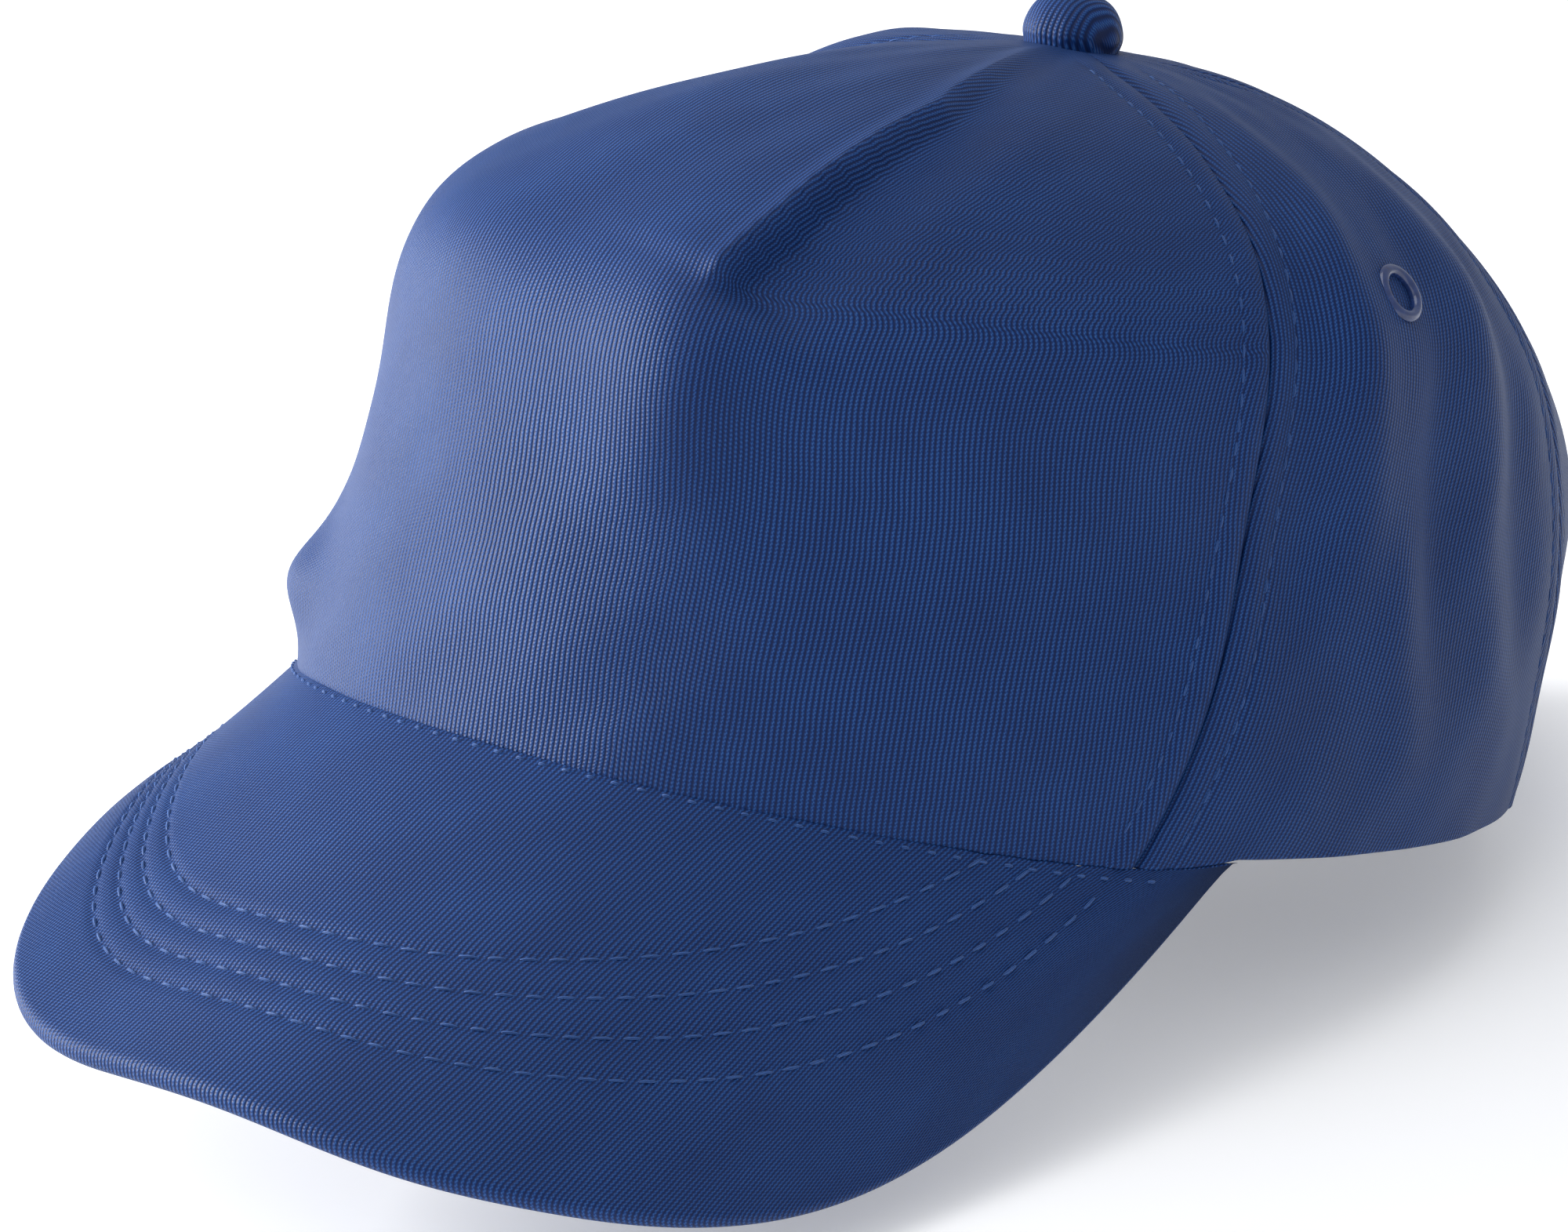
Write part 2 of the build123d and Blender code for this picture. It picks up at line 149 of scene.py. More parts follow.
def smooth_curve(values):
    """A twice-smooth curve through values at 0, 1, 2 and so on, as a function."""
    p = np.array(values, float)
    n = len(p)
    matrix = np.eye(n)
    right = np.zeros(n)
    right[0] = -1.5 * p[0] + 2 * p[1] - 0.5 * p[2]
    right[-1] = 1.5 * p[-1] - 2 * p[-2] + 0.5 * p[-3]
    for k in range(1, n - 1):
        matrix[k, k - 1:k + 2] = (1, 4, 1)
        right[k] = 3 * (p[k + 1] - p[k - 1])
    slope = np.linalg.solve(matrix, right)

    def at(t):
        t = np.asarray(t, float)
        k = np.clip(np.floor(t).astype(int), 0, n - 2)
        s = t - k
        return ((2 * s**3 - 3 * s**2 + 1) * p[k] + (s**3 - 2 * s**2 + s) * slope[k]
                + (3 * s**2 - 2 * s**3) * p[k + 1] + (s**3 - s**2) * slope[k + 1])
    return at


front_curve = smooth_curve(FRONT_REACH)
side_curve = smooth_curve(SIDE_REACH)
back_curve = smooth_curve(BACK_REACH)
level_curve = smooth_curve(LEVELS)


# Visor and crown as surfaces ----------------------------------
def visor_height(x, y):
    """Height of the visor's top surface."""
    flat = np.sqrt(np.maximum(1 - (x / VISOR_HALF_WIDTH) ** 2, 0.0))
    return VISOR_RISE - VISOR_ARCH * (1 - flat) + VISOR_SLOPE * (y + RIM_HALF_LENGTH)


VISOR_END_X = RIM_HALF_WIDTH * math.sin(math.radians(VISOR_END_ANGLE))
VISOR_END_Y = -RIM_HALF_LENGTH * math.cos(math.radians(VISOR_END_ANGLE))


def rim_distance(turn):
    across, back = np.sin(turn), -np.cos(turn)
    square = (across / RIM_HALF_WIDTH) ** 2 + (back / RIM_HALF_LENGTH) ** 2
    linear = 2 * BUTTON_BACK * back / RIM_HALF_LENGTH**2
    constant = (BUTTON_BACK / RIM_HALF_LENGTH) ** 2 - 1
    return (-linear + np.sqrt(linear**2 - 4 * square * constant)) / (2 * square)


def crown_base(angle, level):
    """A point of the crown's plain outer surface, angle in degrees from the forehead."""
    turn = np.radians(angle)
    side = np.sin(turn) ** 2
    out = rim_distance(turn)
    x, y = out * np.sin(turn), BUTTON_BACK - out * np.cos(turn)
    share = ease((y - VISOR_END_Y) / (RIM_HALF_LENGTH - VISOR_END_Y))
    behind = visor_height(VISOR_END_X, VISOR_END_Y) * (1 - share) + RIM_BACK_RISE * share
    rim = np.where(y < VISOR_END_Y, visor_height(x, y), behind)
    end = np.where(np.cos(turn) > 0, front_curve(level), back_curve(level))
    reach = out * (end * (1 - side) + side_curve(level) * side)
    up = rim + (CROWN_HEIGHT - rim) * level_curve(level)
    return np.stack([reach * np.sin(turn), BUTTON_BACK - reach * np.cos(turn), up], -1)


def normal_of(surface, a, b, step_a, step_b):
    """Unit normal of surface(a, b), pointing along d/db x d/da."""
    along_a = surface(a + step_a, b) - surface(a - step_a, b)
    along_b = surface(a, b + step_b) - surface(a, b - step_b)
    return unit(np.cross(along_b, along_a))


def seam_angle(seam, level):
    share = level / RIM_LEVEL
    return seam[0] + seam[1] * 4 * share * (1 - share)


def wrapped(angle):
    return (np.asarray(angle, float) + 180.0) % 360.0 - 180.0


def radius_at(angle, level):
    here = crown_base(angle, level)
    return np.hypot(here[..., 0], here[..., 1] - BUTTON_BACK)


def seam_offset(seam, mirror, angle, level):
    """Distance from a seam along the surface, positive towards the back."""
    turned = wrapped(angle) * mirror
    gap = wrapped(turned - seam_angle(seam, level))
    return np.radians(gap) * radius_at(angle, level)


SEAMS = [(FRONT_SEAM, 1), (FRONT_SEAM, -1), (REAR_SEAM, 1), (REAR_SEAM, -1), (BACK_SEAM, 1)]

# The long crease: its route as (angle, level) and its depth at each point of the route
CREASE = np.array([(25.0, 0.45), (26.0, 1.0), (25.5, 1.45), (22.0, 2.02), (19.5, 2.55),
                   (17.5, 2.92)])
CROWN_MIDDLE = np.array([0, BUTTON_BACK, 40.0])
CREASE_DEPTH = (0.3, 1.0, 2.0, 3.5, 4.8, 4.2)
RIDGE_WIDTH, APRON_WIDTH = 2.4, 16.0
RIDGE_FADE, HOLLOW_FADE = 5.0, 6.0
HOLLOW_STEP, HOLLOW_FLOOR = 3.0, 3.5

# Seams: fold line, padded allowance beside it, and dents under the stitches, as (mm, width)
FOLD = (0.75, 0.7)
ALLOWANCE = (0.28, 1.7)
ALLOWANCE_OFFSET = 2.7
STITCH_DENT = (0.22, 0.6)
FRONT_STEP = (0.25, 6.0)

# Unevenness: mm, waves round the crown, turn per level, start
RIPPLES = ((0.16, 9, 1.7, 0.0), (0.12, 17, -2.9, 1.0), (0.10, 7, 5.1, 0.0), (0.06, 31, 6.3, 0.0))

# Bulges and hollows: angle, level, half width in degrees, half height in levels, mm outward
BULGES = (
    (15.5, 3.6, 6.5, 0.75, 3.0),
    (2.0, 2.75, 10.0, 0.45, -1.6),
    (-16.0, 2.4, 9.0, 0.5, -1.2),
    (33.0, 3.1, 9.0, 0.8, -1.3),
    (-30.0, 5.38, 8.0, 0.32, 4.3),
    (-50.0, 1.5, 26.0, 0.85, -7.5),
    (-95.0, 1.3, 22.0, 0.60, 2.5),
    (-31.0, 4.6, 9.0, 0.35, -0.7),
    (81.5, 2.3, 4.5, 0.9, 1.7),
    (84.5, 3.4, 4.5, 0.9, 1.9),
    (91.5, 4.4, 5.0, 0.9, 1.7),
    (75.0, 3.2, 4.0, 1.2, -1.5),
    (98.0, 3.4, 4.5, 1.3, -1.5),
    (109.0, 3.4, 5.0, 1.3, 1.8),
    (119.0, 3.6, 4.5, 1.4, -1.4),
    (-80.0, 3.0, 6.0, 1.2, 0.9),
    (-96.0, 3.4, 6.0, 1.3, -0.9),
    (-112.0, 3.2, 6.0, 1.2, 0.9),
    (148.0, 3.4, 6.0, 1.0, 0.8),
    (-150.0, 3.2, 6.0, 1.0, 0.8),
)


def route_frame(route, angle, level):
    """Share along a route of (angle, level) points, signed distance to it and overrun.

    The distance is positive on the wearer's left of the route.
    """
    here = crown_base(angle, level)
    line = crown_base(route[:, 0], route[:, 1])
    best = np.full(here.shape[:-1], 1e9)
    share = np.zeros_like(best)
    signed = np.zeros_like(best)
    over = np.zeros_like(best)
    for k in range(len(line) - 1):
        run = line[k + 1] - line[k]
        length = np.linalg.norm(run)
        raw = ((here - line[k]) @ run) / length**2
        t = np.clip(raw, 0, 1)
        gap = here - (line[k] + t[..., None] * run)
        distance = np.linalg.norm(gap, axis=-1)
        middle = unit(line[k] - CROWN_MIDDLE)
        sideways = unit(np.cross(run, middle))
        nearer = distance < best
        best = np.where(nearer, distance, best)
        share = np.where(nearer, (k + t) / (len(line) - 1), share)
        past = (raw - t) * length
        off_line = np.sqrt(np.maximum(distance**2 - past**2, 0))
        signed = np.where(nearer, np.sign(gap @ sideways) * off_line, signed)
        over = np.where(nearer, np.maximum(past, 0) * (k == len(line) - 2), over)
    return share, signed, over


def crease_relief(angle, level):
    """The long crease from the button: a sharp fold with a deep hollow on its right."""
    share, signed, over = route_frame(CREASE, angle, level)
    depth = np.interp(share, np.linspace(0, 1, len(CREASE)), CREASE_DEPTH)
    fade = ease(1 - over / RIDGE_FADE)
    ridge = bell(signed, RIDGE_WIDTH) * (0.6 + 0.5 * share)
    apron = bell(np.clip(signed, 0, None), APRON_WIDTH) * (signed > 0) * 0.9
    return fade * (ridge + apron * share) - depth * crease_hollow(share, signed, over)


def crease_hollow(share, signed, over):
    """From 0 to 1: steep beside the ridge, gentle on the far side, rounded at its end."""
    reach = np.clip(-signed, 0, None)
    far_side = bell(np.maximum(reach - HOLLOW_FLOOR, 0), 3.0 + 9.0 * share)
    return ease(reach / HOLLOW_STEP) * far_side * ease(1 - over / HOLLOW_FADE)


def large_relief(angle, level):
    """The folds that all layers of the crown share."""
    turned = wrapped(angle)
    relief = crease_relief(turned, level)
    for where, height, width, tall, amount in BULGES:
        gap = wrapped(turned - where)
        relief = relief + amount * bell(gap, width) * bell(level - height, tall)
    return relief * ease(level / 0.5)


def seam_relief(angle, level):
    """Each seam's fold line, its padded allowance and the dents of its topstitching."""
    relief = 0.0
    for seam, mirror in SEAMS:
        d = seam_offset(seam, mirror, angle, level)
        relief = relief - FOLD[0] * bell(d, FOLD[1])
        relief = relief + ALLOWANCE[0] * bell(np.abs(d) - ALLOWANCE_OFFSET, ALLOWANCE[1])
        relief = relief - STITCH_DENT[0] * bell(np.abs(d) - SEAM_STITCH, STITCH_DENT[1])
        if seam is FRONT_SEAM:
            relief = relief - FRONT_STEP[0] * ease(d / 0.6 + 0.5) * bell(d, FRONT_STEP[1])
    return relief * ease((level - 0.25) / 0.5)


def ripple(angle, level):
    """Slight unevenness that sewn cloth always has."""
    a = np.radians(angle)
    waves = [amount * np.sin(round_it * a + climb * level + start)
             for amount, round_it, climb, start in RIPPLES]
    return sum(waves) * ease(level)


def crown_at(angle, level, depth=0.0, seams=True):
    """A point of the finished crown, or of a layer a depth below its surface."""
    normal = normal_of(crown_base, angle, level, 0.2, 0.01)
    relief = large_relief(angle, level) + ripple(angle, level) - depth
    if seams:
        relief = relief + seam_relief(angle, level)
    return crown_base(angle, level) + normal * relief[..., None]


# Meshes -------------------------------------------------------
def lay_cloth(mesh, flat):
    """Stores where each vertex lies on the flat cloth, for the weaves."""
    layer = mesh.attributes.new("cloth", "FLOAT_VECTOR", "POINT")
    layer.data.foreach_set("vector", np.asarray(flat, np.float32).ravel())


def new_object(name, points, faces, cloth=None):
    mesh = bpy.data.meshes.new(name)
    mesh.from_pydata([tuple(p) for p in points], [], faces)
    mesh.validate()
    if cloth is not None:
        lay_cloth(mesh, cloth)
    mesh.polygons.foreach_set("use_smooth", [True] * len(mesh.polygons))
    piece = bpy.data.objects.new(name, mesh)
    bpy.context.scene.collection.objects.link(piece)
    return piece


def weave_turned(across, down, turn):
    """Flat cloth coordinates in mm, with the weave turned by some degrees."""
    c, s = math.cos(math.radians(turn)), math.sin(math.radians(turn))
    return np.stack([across * c - down * s, across * s + down * c, 0 * across], -1)


def flat_coordinates(grid, turn):
    """Where each grid point lies on the flat cloth, from its distances along the grid."""
    across = np.linalg.norm(np.diff(grid, axis=1), axis=-1)
    across = np.concatenate([np.zeros((len(grid), 1)), np.cumsum(across, axis=1)], axis=1)
    centre = grid.shape[1] // 2
    across = across - across[:, centre:centre + 1]
    down = np.linalg.norm(np.diff(grid, axis=0), axis=-1)
    down = np.concatenate([np.zeros((1, grid.shape[1])), np.cumsum(down, axis=0)])
    return weave_turned(across, down, turn)


def half_round(outer, inner, outward, steps=5):
    """Rows that carry an edge round from the outer face to the inner one."""
    middle, half = (outer + inner) / 2, (outer - inner) / 2
    out = unit(outward) * np.linalg.norm(half, axis=-1, keepdims=True)
    turns = np.linspace(0, math.pi, steps + 2)[1:-1]
    return [middle + half * math.cos(t) + out * math.sin(t) for t in turns]


def cloth_shell(name, outer, inner, turn=0.0, flat=None):
    """A closed piece of cloth between two grids, in crown mm, its long edges rounded."""
    if flat is None:
        flat = flat_coordinates(outer, turn)
    low = half_round(outer[-1], inner[-1], outer[-1] - outer[-2])
    high = half_round(inner[0], outer[0], outer[0] - outer[1])
    rows = [*outer, *low, *inner[::-1], *high]
    coordinates = [*flat, *[flat[-1]] * len(low), *flat[::-1], *[flat[0]] * len(high)]
    ring, columns = len(rows), outer.shape[1]
    faces = []
    for r in range(ring):
        s = (r + 1) % ring
        for c in range(columns - 1):
            faces.append((r * columns + c, s * columns + c, s * columns + c + 1,
                          r * columns + c + 1))
    count = len(outer)
    inside = [count + len(low) + count - 1 - r for r in range(count)]
    for r in range(count - 1):
        for c, flip in ((0, False), (columns - 1, True)):
            quad = [k * columns + c for k in (r, inside[r], inside[r + 1], r + 1)]
            faces.append(tuple(reversed(quad)) if flip else tuple(quad))
    for edge in ([count - 1, *range(count, count + len(low)), inside[-1]],
                 [inside[0], *range(2 * count + len(low), ring), 0]):
        faces.append(tuple(k * columns for k in reversed(edge)))
        faces.append(tuple(k * columns + columns - 1 for k in edge))
    return new_object(name, to_row(np.concatenate(rows)), faces, np.concatenate(coordinates))


def declare(grid):
    """Works out how long a piece's grid is when laid flat, at least SMALLEST_SHEET, but does
    nothing with it.
    """
    length = float(np.linalg.norm(np.diff(grid, axis=0), axis=-1).sum(0).max())
    length = max(length, SMALLEST_SHEET)


def finish_piece(piece, body, material, slot, *nodes):
    piece.data.materials.append(material)
    if nodes:
        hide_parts(*nodes)
    if body:
        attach(piece, body)
    return piece


# Materials ----------------------------------------------------
def material(name):
    made = bpy.data.materials.new(name)
    made.use_nodes = True
    return made, made.node_tree, made.node_tree.nodes["Principled BSDF"].inputs


def maths(operation, *values):
    """A maths node on sockets and numbers, the first of them a socket."""
    tree = values[0].id_data
    node = tree.nodes.new("ShaderNodeMath")
    node.operation = operation
    for value, entry in zip(values, node.inputs):
        if isinstance(value, (int, float)):
            entry.default_value = value
        else:
            tree.links.new(value, entry)
    return node.outputs[0]


def noise(place, scale, detail=2.0):
    node = place.id_data.nodes.new("ShaderNodeTexNoise")
    node.inputs["Scale"].default_value = scale
    node.inputs["Detail"].default_value = detail
    place.id_data.links.new(place, node.inputs["Vector"])
    return node.outputs["Fac"]


def ramp(factor, *stops):
    node = factor.id_data.nodes.new("ShaderNodeValToRGB")
    ends = node.color_ramp.elements
    for end, (position, colour) in ((ends[0], stops[0]), (ends[1], stops[-1])):
        end.position = position
        end.color = (*colour, 1)
    for position, colour in stops[1:-1]:
        ends.new(position).color = (*colour, 1)
    factor.id_data.links.new(factor, node.inputs["Fac"])
    return node.outputs["Color"]


def bumped(shader, height, depth):
    """Raises the shader's surface by a height, up to a depth in mm."""
    tree = height.id_data
    bump = tree.nodes.new("ShaderNodeBump")
    bump.inputs["Strength"].default_value = 1.0
    bump.inputs["Distance"].default_value = depth * MM
    tree.links.new(height, bump.inputs["Height"])
    tree.links.new(bump.outputs["Normal"], shader["Normal"])


def cloth_place(tree):
    """Where a point lies on the flat cloth, whole and as its two coordinates in mm."""
    source = tree.nodes.new("ShaderNodeAttribute")
    source.attribute_name = "cloth"
    split = tree.nodes.new("ShaderNodeSeparateXYZ")
    place = source.outputs["Vector"]
    tree.links.new(place, split.inputs[0])
    return place, split.outputs["X"], split.outputs["Y"]


def twill(name, dark, middle, light, wale=0.80, bead=0.55, depth=0.13, sheen=0.05, roughness=0.50):
    """Woven twill: raised wales made of short floats, fuzzy and slightly uneven in dye, with
    painted shade between the wales and a painted highlight on their tops.
    """
    made, tree, shader = material(name)
    place, x, y = cloth_place(tree)
    across = maths("MULTIPLY_ADD", noise(place, 0.12), 0.6, x)
    count = maths("DIVIDE", across, wale)
    rib = maths("COSINE", maths("MULTIPLY", count, 2 * math.pi))
    rib = maths("MULTIPLY_ADD", rib, 0.5, 0.5)
    stepped = maths("MULTIPLY", maths("FLOOR", count), 0.38)
    phase = maths("ADD", maths("DIVIDE", y, bead), stepped)
    float_wave = maths("COSINE", maths("MULTIPLY", phase, 2 * math.pi))
    float_wave = maths("MULTIPLY_ADD", float_wave, 0.28, 0.72)
    yarn = maths("MULTIPLY", maths("POWER", rib, 0.8), float_wave)
    fuzz = noise(place, 3.2, 3.0)
    height = maths("MULTIPLY_ADD", fuzz, 0.35, yarn)
    dye = noise(place, 0.06, 3.0)
    # Painted shade and highlight: the yarn's profile darkens the colour in the hollows between
    # wales and lightens their tops; the dye noise and fuzz add real uneven tone.
    dye_and_painted_weave_shade = maths("MULTIPLY_ADD", maths("SUBTRACT", dye, 0.5), 0.30, yarn)
    dye_and_painted_weave_shade = maths("ADD", dye_and_painted_weave_shade, maths("MULTIPLY", maths("SUBTRACT", fuzz, 0.5), 0.5))
    colour = ramp(dye_and_painted_weave_shade, (0.10, dark), (0.55, middle), (1.0, light))
    tree.links.new(colour, shader["Base Color"])
    shader["Roughness"].default_value = roughness
    shader["Specular IOR Level"].default_value = 0.19
    shader["Sheen Weight"].default_value = sheen
    shader["Sheen Roughness"].default_value = 0.45
    shader["Sheen Tint"].default_value = (0.45, 0.62, 1.0, 1)
    bumped(shader, height, depth)
    return made


def plain_weave(name, dark, light, pitch=0.6, depth=0.08, roughness=0.8, sheen=0.2):
    """A fuzzy over-and-under weave, for tapes, felt, satin and buckram."""
    made, tree, shader = material(name)
    place, *sides = cloth_place(tree)
    waves = [maths("SINE", maths("MULTIPLY", side, 2 * math.pi / pitch)) for side in sides]
    weave = maths("MULTIPLY_ADD", maths("MULTIPLY", *waves), 0.5, 0.5)
    height = maths("MULTIPLY_ADD", noise(place, 2.5, 3.0), 0.5, weave)
    tree.links.new(ramp(height, (0.1, dark), (0.8, light)), shader["Base Color"])
    shader["Roughness"].default_value = roughness
    shader["Sheen Weight"].default_value = sheen
    bumped(shader, height, depth)
    return made


def grained(name, dark, light, scale, roughness, metallic=0.0, depth=0.01, coat=0.0):
    """A moulded, painted or pressed surface with fine grain and rubbed high spots."""
    made, tree, shader = material(name)
    place = tree.nodes.new("ShaderNodeTexCoord").outputs["Object"]
    grain = noise(place, scale, 4.0)
    tree.links.new(ramp(grain, (0.3, dark), (0.7, light)), shader["Base Color"])
    spread = tree.nodes.new("ShaderNodeMapRange")
    spread.inputs["To Min"].default_value = roughness - 0.07
    spread.inputs["To Max"].default_value = roughness + 0.1
    tree.links.new(grain, spread.inputs["Value"])
    tree.links.new(spread.outputs["Result"], shader["Roughness"])
    shader["Metallic"].default_value = metallic
    shader["Coat Weight"].default_value = coat
    bumped(shader, grain, depth)
    return made


NAVY_DARK = (0.0012, 0.0110, 0.062)
NAVY = (0.0030, 0.0340, 0.165)
NAVY_LIGHT = (0.026, 0.100, 0.30)
TWILL = twill("navy_twill", NAVY_DARK, NAVY, NAVY_LIGHT)
FINE_TWILL = twill("navy_twill_button", NAVY_DARK, NAVY, NAVY_LIGHT, bead=0.5)
SOFT_TWILL = twill("navy_brushed_twill", NAVY_DARK, NAVY, NAVY_LIGHT, wale=0.7, bead=0.5,
                   depth=0.07, sheen=0.5, roughness=0.8)
# The thread's colours are lighter than the cloth's: a painted highlight standing in for the light
# that catches the stitches.
THREAD = twill("navy_thread", (0.012, 0.040, 0.14), (0.026, 0.080, 0.27), (0.07, 0.16, 0.42),
               wale=0.35, bead=0.5, depth=0.05, sheen=0.4)
BUCKRAM = plain_weave("white_buckram", (0.55, 0.54, 0.50), (0.86, 0.85, 0.81), pitch=1.4,
                      depth=0.15)
TAPE_WEAVE = plain_weave("navy_tape", NAVY_DARK, (0.022, 0.058, 0.21), pitch=0.7)
FELT = plain_weave("white_felt", (0.62, 0.61, 0.57), (0.88, 0.87, 0.84), pitch=2.2)
SATIN = plain_weave("white_satin", (0.74, 0.74, 0.72), (0.93, 0.93, 0.91), pitch=0.35, depth=0.03,
                    roughness=0.45)
PAINT = grained("navy_enamel", (0.008, 0.022, 0.095), (0.016, 0.042, 0.16), 900.0, 0.24, coat=0.5)
METAL = grained("pressed_aluminium", (0.42, 0.42, 0.42), (0.66, 0.66, 0.65), 1400.0, 0.34,
                metallic=1.0)
BOARD = grained("white_board", (0.72, 0.72, 0.69), (0.86, 0.86, 0.83), 500.0, 0.55, depth=0.03)


# Crown panels -------------------------------------------------
def seam_side(seam, mirror, margin):
    """The angle of a line a margin to the back of a seam, at a level."""
    def at(level):
        angle = mirror * seam_angle(seam, level)
        return angle + mirror * np.degrees(margin / radius_at(angle, level))
    return at


def spread(start, end, level, columns):
    """Angles from one line to another at each level."""
    first, last = start(level), end(level)
    return first + (last - first) * np.linspace(0, 1, columns + 1)


def crown_grid(start, end, top, low, columns, rows):
    level = top + (low - top) * np.linspace(0, 1, rows + 1)[:, None]
    return spread(start, end, level, columns), level + np.zeros(columns + 1)


def arch_share(points, grow=0.0):
    """Under 1 inside the arched back opening grown by some mm."""
    x, z = points[..., 0], points[..., 2] - RIM_BACK_RISE
    inside = (x / (ARCH_HALF_WIDTH + grow)) ** 2 + (np.maximum(z, 0) / (ARCH_HEIGHT + grow)) ** 2
    return np.where(points[..., 1] < 0, 9.0, inside)


def lowest_level(angle, top, grow):
    """The level at which a column of the grid meets the opening, or the rim."""
    levels = np.linspace(top, RIM_LEVEL, 160)
    points = crown_base(angle[:, None] + 0 * levels[None, :], levels[None, :] + 0 * angle[:, None])
    clear = arch_share(points, grow) > 1
    first = np.where(clear.all(1), len(levels) - 1, np.argmax(~clear, axis=1))
    return levels[first]


def rear_coordinates(angle, level, turn):
    """Flat cloth coordinates for a grid whose rows bend round the opening."""
    centre = angle.mean()
    levels = np.linspace(0, RIM_LEVEL, 61)
    steps = np.linalg.norm(np.diff(crown_base(centre + 0 * levels, levels), axis=0), axis=-1)
    across = np.radians(angle - centre) * radius_at(angle, level)
    down = np.interp(level, levels, np.concatenate([[0.0], np.cumsum(steps)]))
    return weave_turned(across, down, turn)


PANEL_EDGE_GROW = 1.2


def add_panel(name, start, end, columns, rows, turn, opening=False):
    angle, level = crown_grid(start, end, TOP_LEVEL, RIM_LEVEL, columns, rows)
    if opening:
        stop = lowest_level(angle[-1], TOP_LEVEL, PANEL_EDGE_GROW)
        level = TOP_LEVEL + (stop - TOP_LEVEL) * np.linspace(0, 1, rows + 1)[:, None]
        angle = spread(start, end, level, columns)
    outer = crown_at(angle, level)
    inner = crown_at(angle, level, PANEL)
    flat = rear_coordinates(angle, level, turn) if opening else None
    panel = cloth_shell(name + "_cloth", outer, inner, turn, flat)
    finish_piece(panel, "cap", TWILL, "twill", name)
    declare(outer)


def before(seam, mirror):
    return seam_side(seam, mirror, -SEAM_HALF_GAP)


def behind(seam, mirror):
    return seam_side(seam, mirror, SEAM_HALF_GAP)


add_panel("front_panel", before(FRONT_SEAM, -1), before(FRONT_SEAM, 1), 220, 170, 4.0)
add_panel("left_side_panel", behind(FRONT_SEAM, 1), before(REAR_SEAM, 1), 130, 150, -12.0)
add_panel("right_side_panel", before(REAR_SEAM, -1), behind(FRONT_SEAM, -1), 130, 150, 12.0)
add_panel("left_rear_panel", behind(REAR_SEAM, 1), before(BACK_SEAM, 1), 90, 120, 9.0, True)
add_panel("right_rear_panel", before(BACK_SEAM, -1), behind(REAR_SEAM, -1), 90, 120, -9.0, True)


# Visor --------------------------------------------------------
def visor_outline(t):
    """The visor's edge in plan, t from -1 on the wearer's right to 1 on the left."""
    s = 1 - np.abs(t)[..., None]
    front = -RIM_HALF_LENGTH - VISOR_REACH
    corners = np.array([(VISOR_END_X, VISOR_END_Y),
                        (VISOR_END_X + VISOR_SIDE_PULL[0], VISOR_END_Y - VISOR_SIDE_PULL[1]),
                        (VISOR_FRONT_PULL, front), (0.0, front)])
    plan = ((1 - s) ** 3 * corners[0] + 3 * (1 - s) ** 2 * s * corners[1]
            + 3 * (1 - s) * s**2 * corners[2] + s**3 * corners[3])
    return plan * np.stack([np.where(t < 0, -1.0, 1.0), np.ones_like(t)], -1)


# Unevenness, all starting at the crown: mm sideways, back and up of the three zones
WARP_RIGHT, WARP_LEFT, WARP_MIDDLE = (16.0, 6.0, 5.5), (3.7, 0.0, 3.0), (0.0, 3.2, -4.7)
WARP_RUN, WARP_SIDE, WARP_CENTRE = 43.5, 80.0, 75.0
WARP_TWIST, WARP_HUB = math.radians(1.6), -20.0
MEAN_RIM_RADIUS = 95.0


def visor_warp(points):
    """The visor isn't quite even: its right lobe is bent in, and its front edge droops."""
    x, y, up = points[..., 0], points[..., 1], points[..., 2]
    outside = (np.hypot(x / RIM_HALF_WIDTH, y / RIM_HALF_LENGTH) - 1) * MEAN_RIM_RADIUS
    forward = ease(outside / WARP_RUN)
    right, left = ease(-x / WARP_SIDE) * forward, ease(x / WARP_SIDE) * forward
    middle = (1 - ease(np.abs(x) / WARP_CENTRE)) * forward
    across = x + WARP_RIGHT[0] * right + WARP_LEFT[0] * left
    along = y + WARP_RIGHT[1] * right + WARP_MIDDLE[1] * middle
    up = up + visor_height(across, along) - visor_height(x, y)
    up = up + WARP_RIGHT[2] * right + WARP_LEFT[2] * left + WARP_MIDDLE[2] * middle
    twist, arm = WARP_TWIST * forward, up - WARP_HUB
    return np.stack([across * np.cos(twist) - arm * np.sin(twist), along,
                     across * np.sin(twist) + arm * np.cos(twist) + WARP_HUB], -1)


def visor_point(x, y):
    wave = 0.35 * np.sin(x / 17.0 + 0.6) + 0.25 * np.sin(x / 9.0 + y / 21.0)
    forward = ease((-y - 105.0) / 40.0)
    return visor_warp(np.stack([x, y, visor_height(x, y) + wave * forward], -1))


outline_t = np.linspace(-1, 1, 481)
outline_plan = visor_outline(outline_t)


def unrolled(plan):
    """Plan points laid flat along the visor's rulings."""
    x = np.linspace(0, VISOR_HALF_WIDTH * 0.99, 500)
    z = VISOR_ARCH * (1 - np.sqrt(1 - (x / VISOR_HALF_WIDTH) ** 2))
    arc = np.concatenate([[0], np.cumsum(np.hypot(np.diff(x), np.diff(z)))])
    across = np.sign(plan[..., 0]) * np.interp(np.abs(plan[..., 0]), x, arc)
    return across, plan[..., 1] * math.hypot(1, VISOR_SLOPE), x, arc


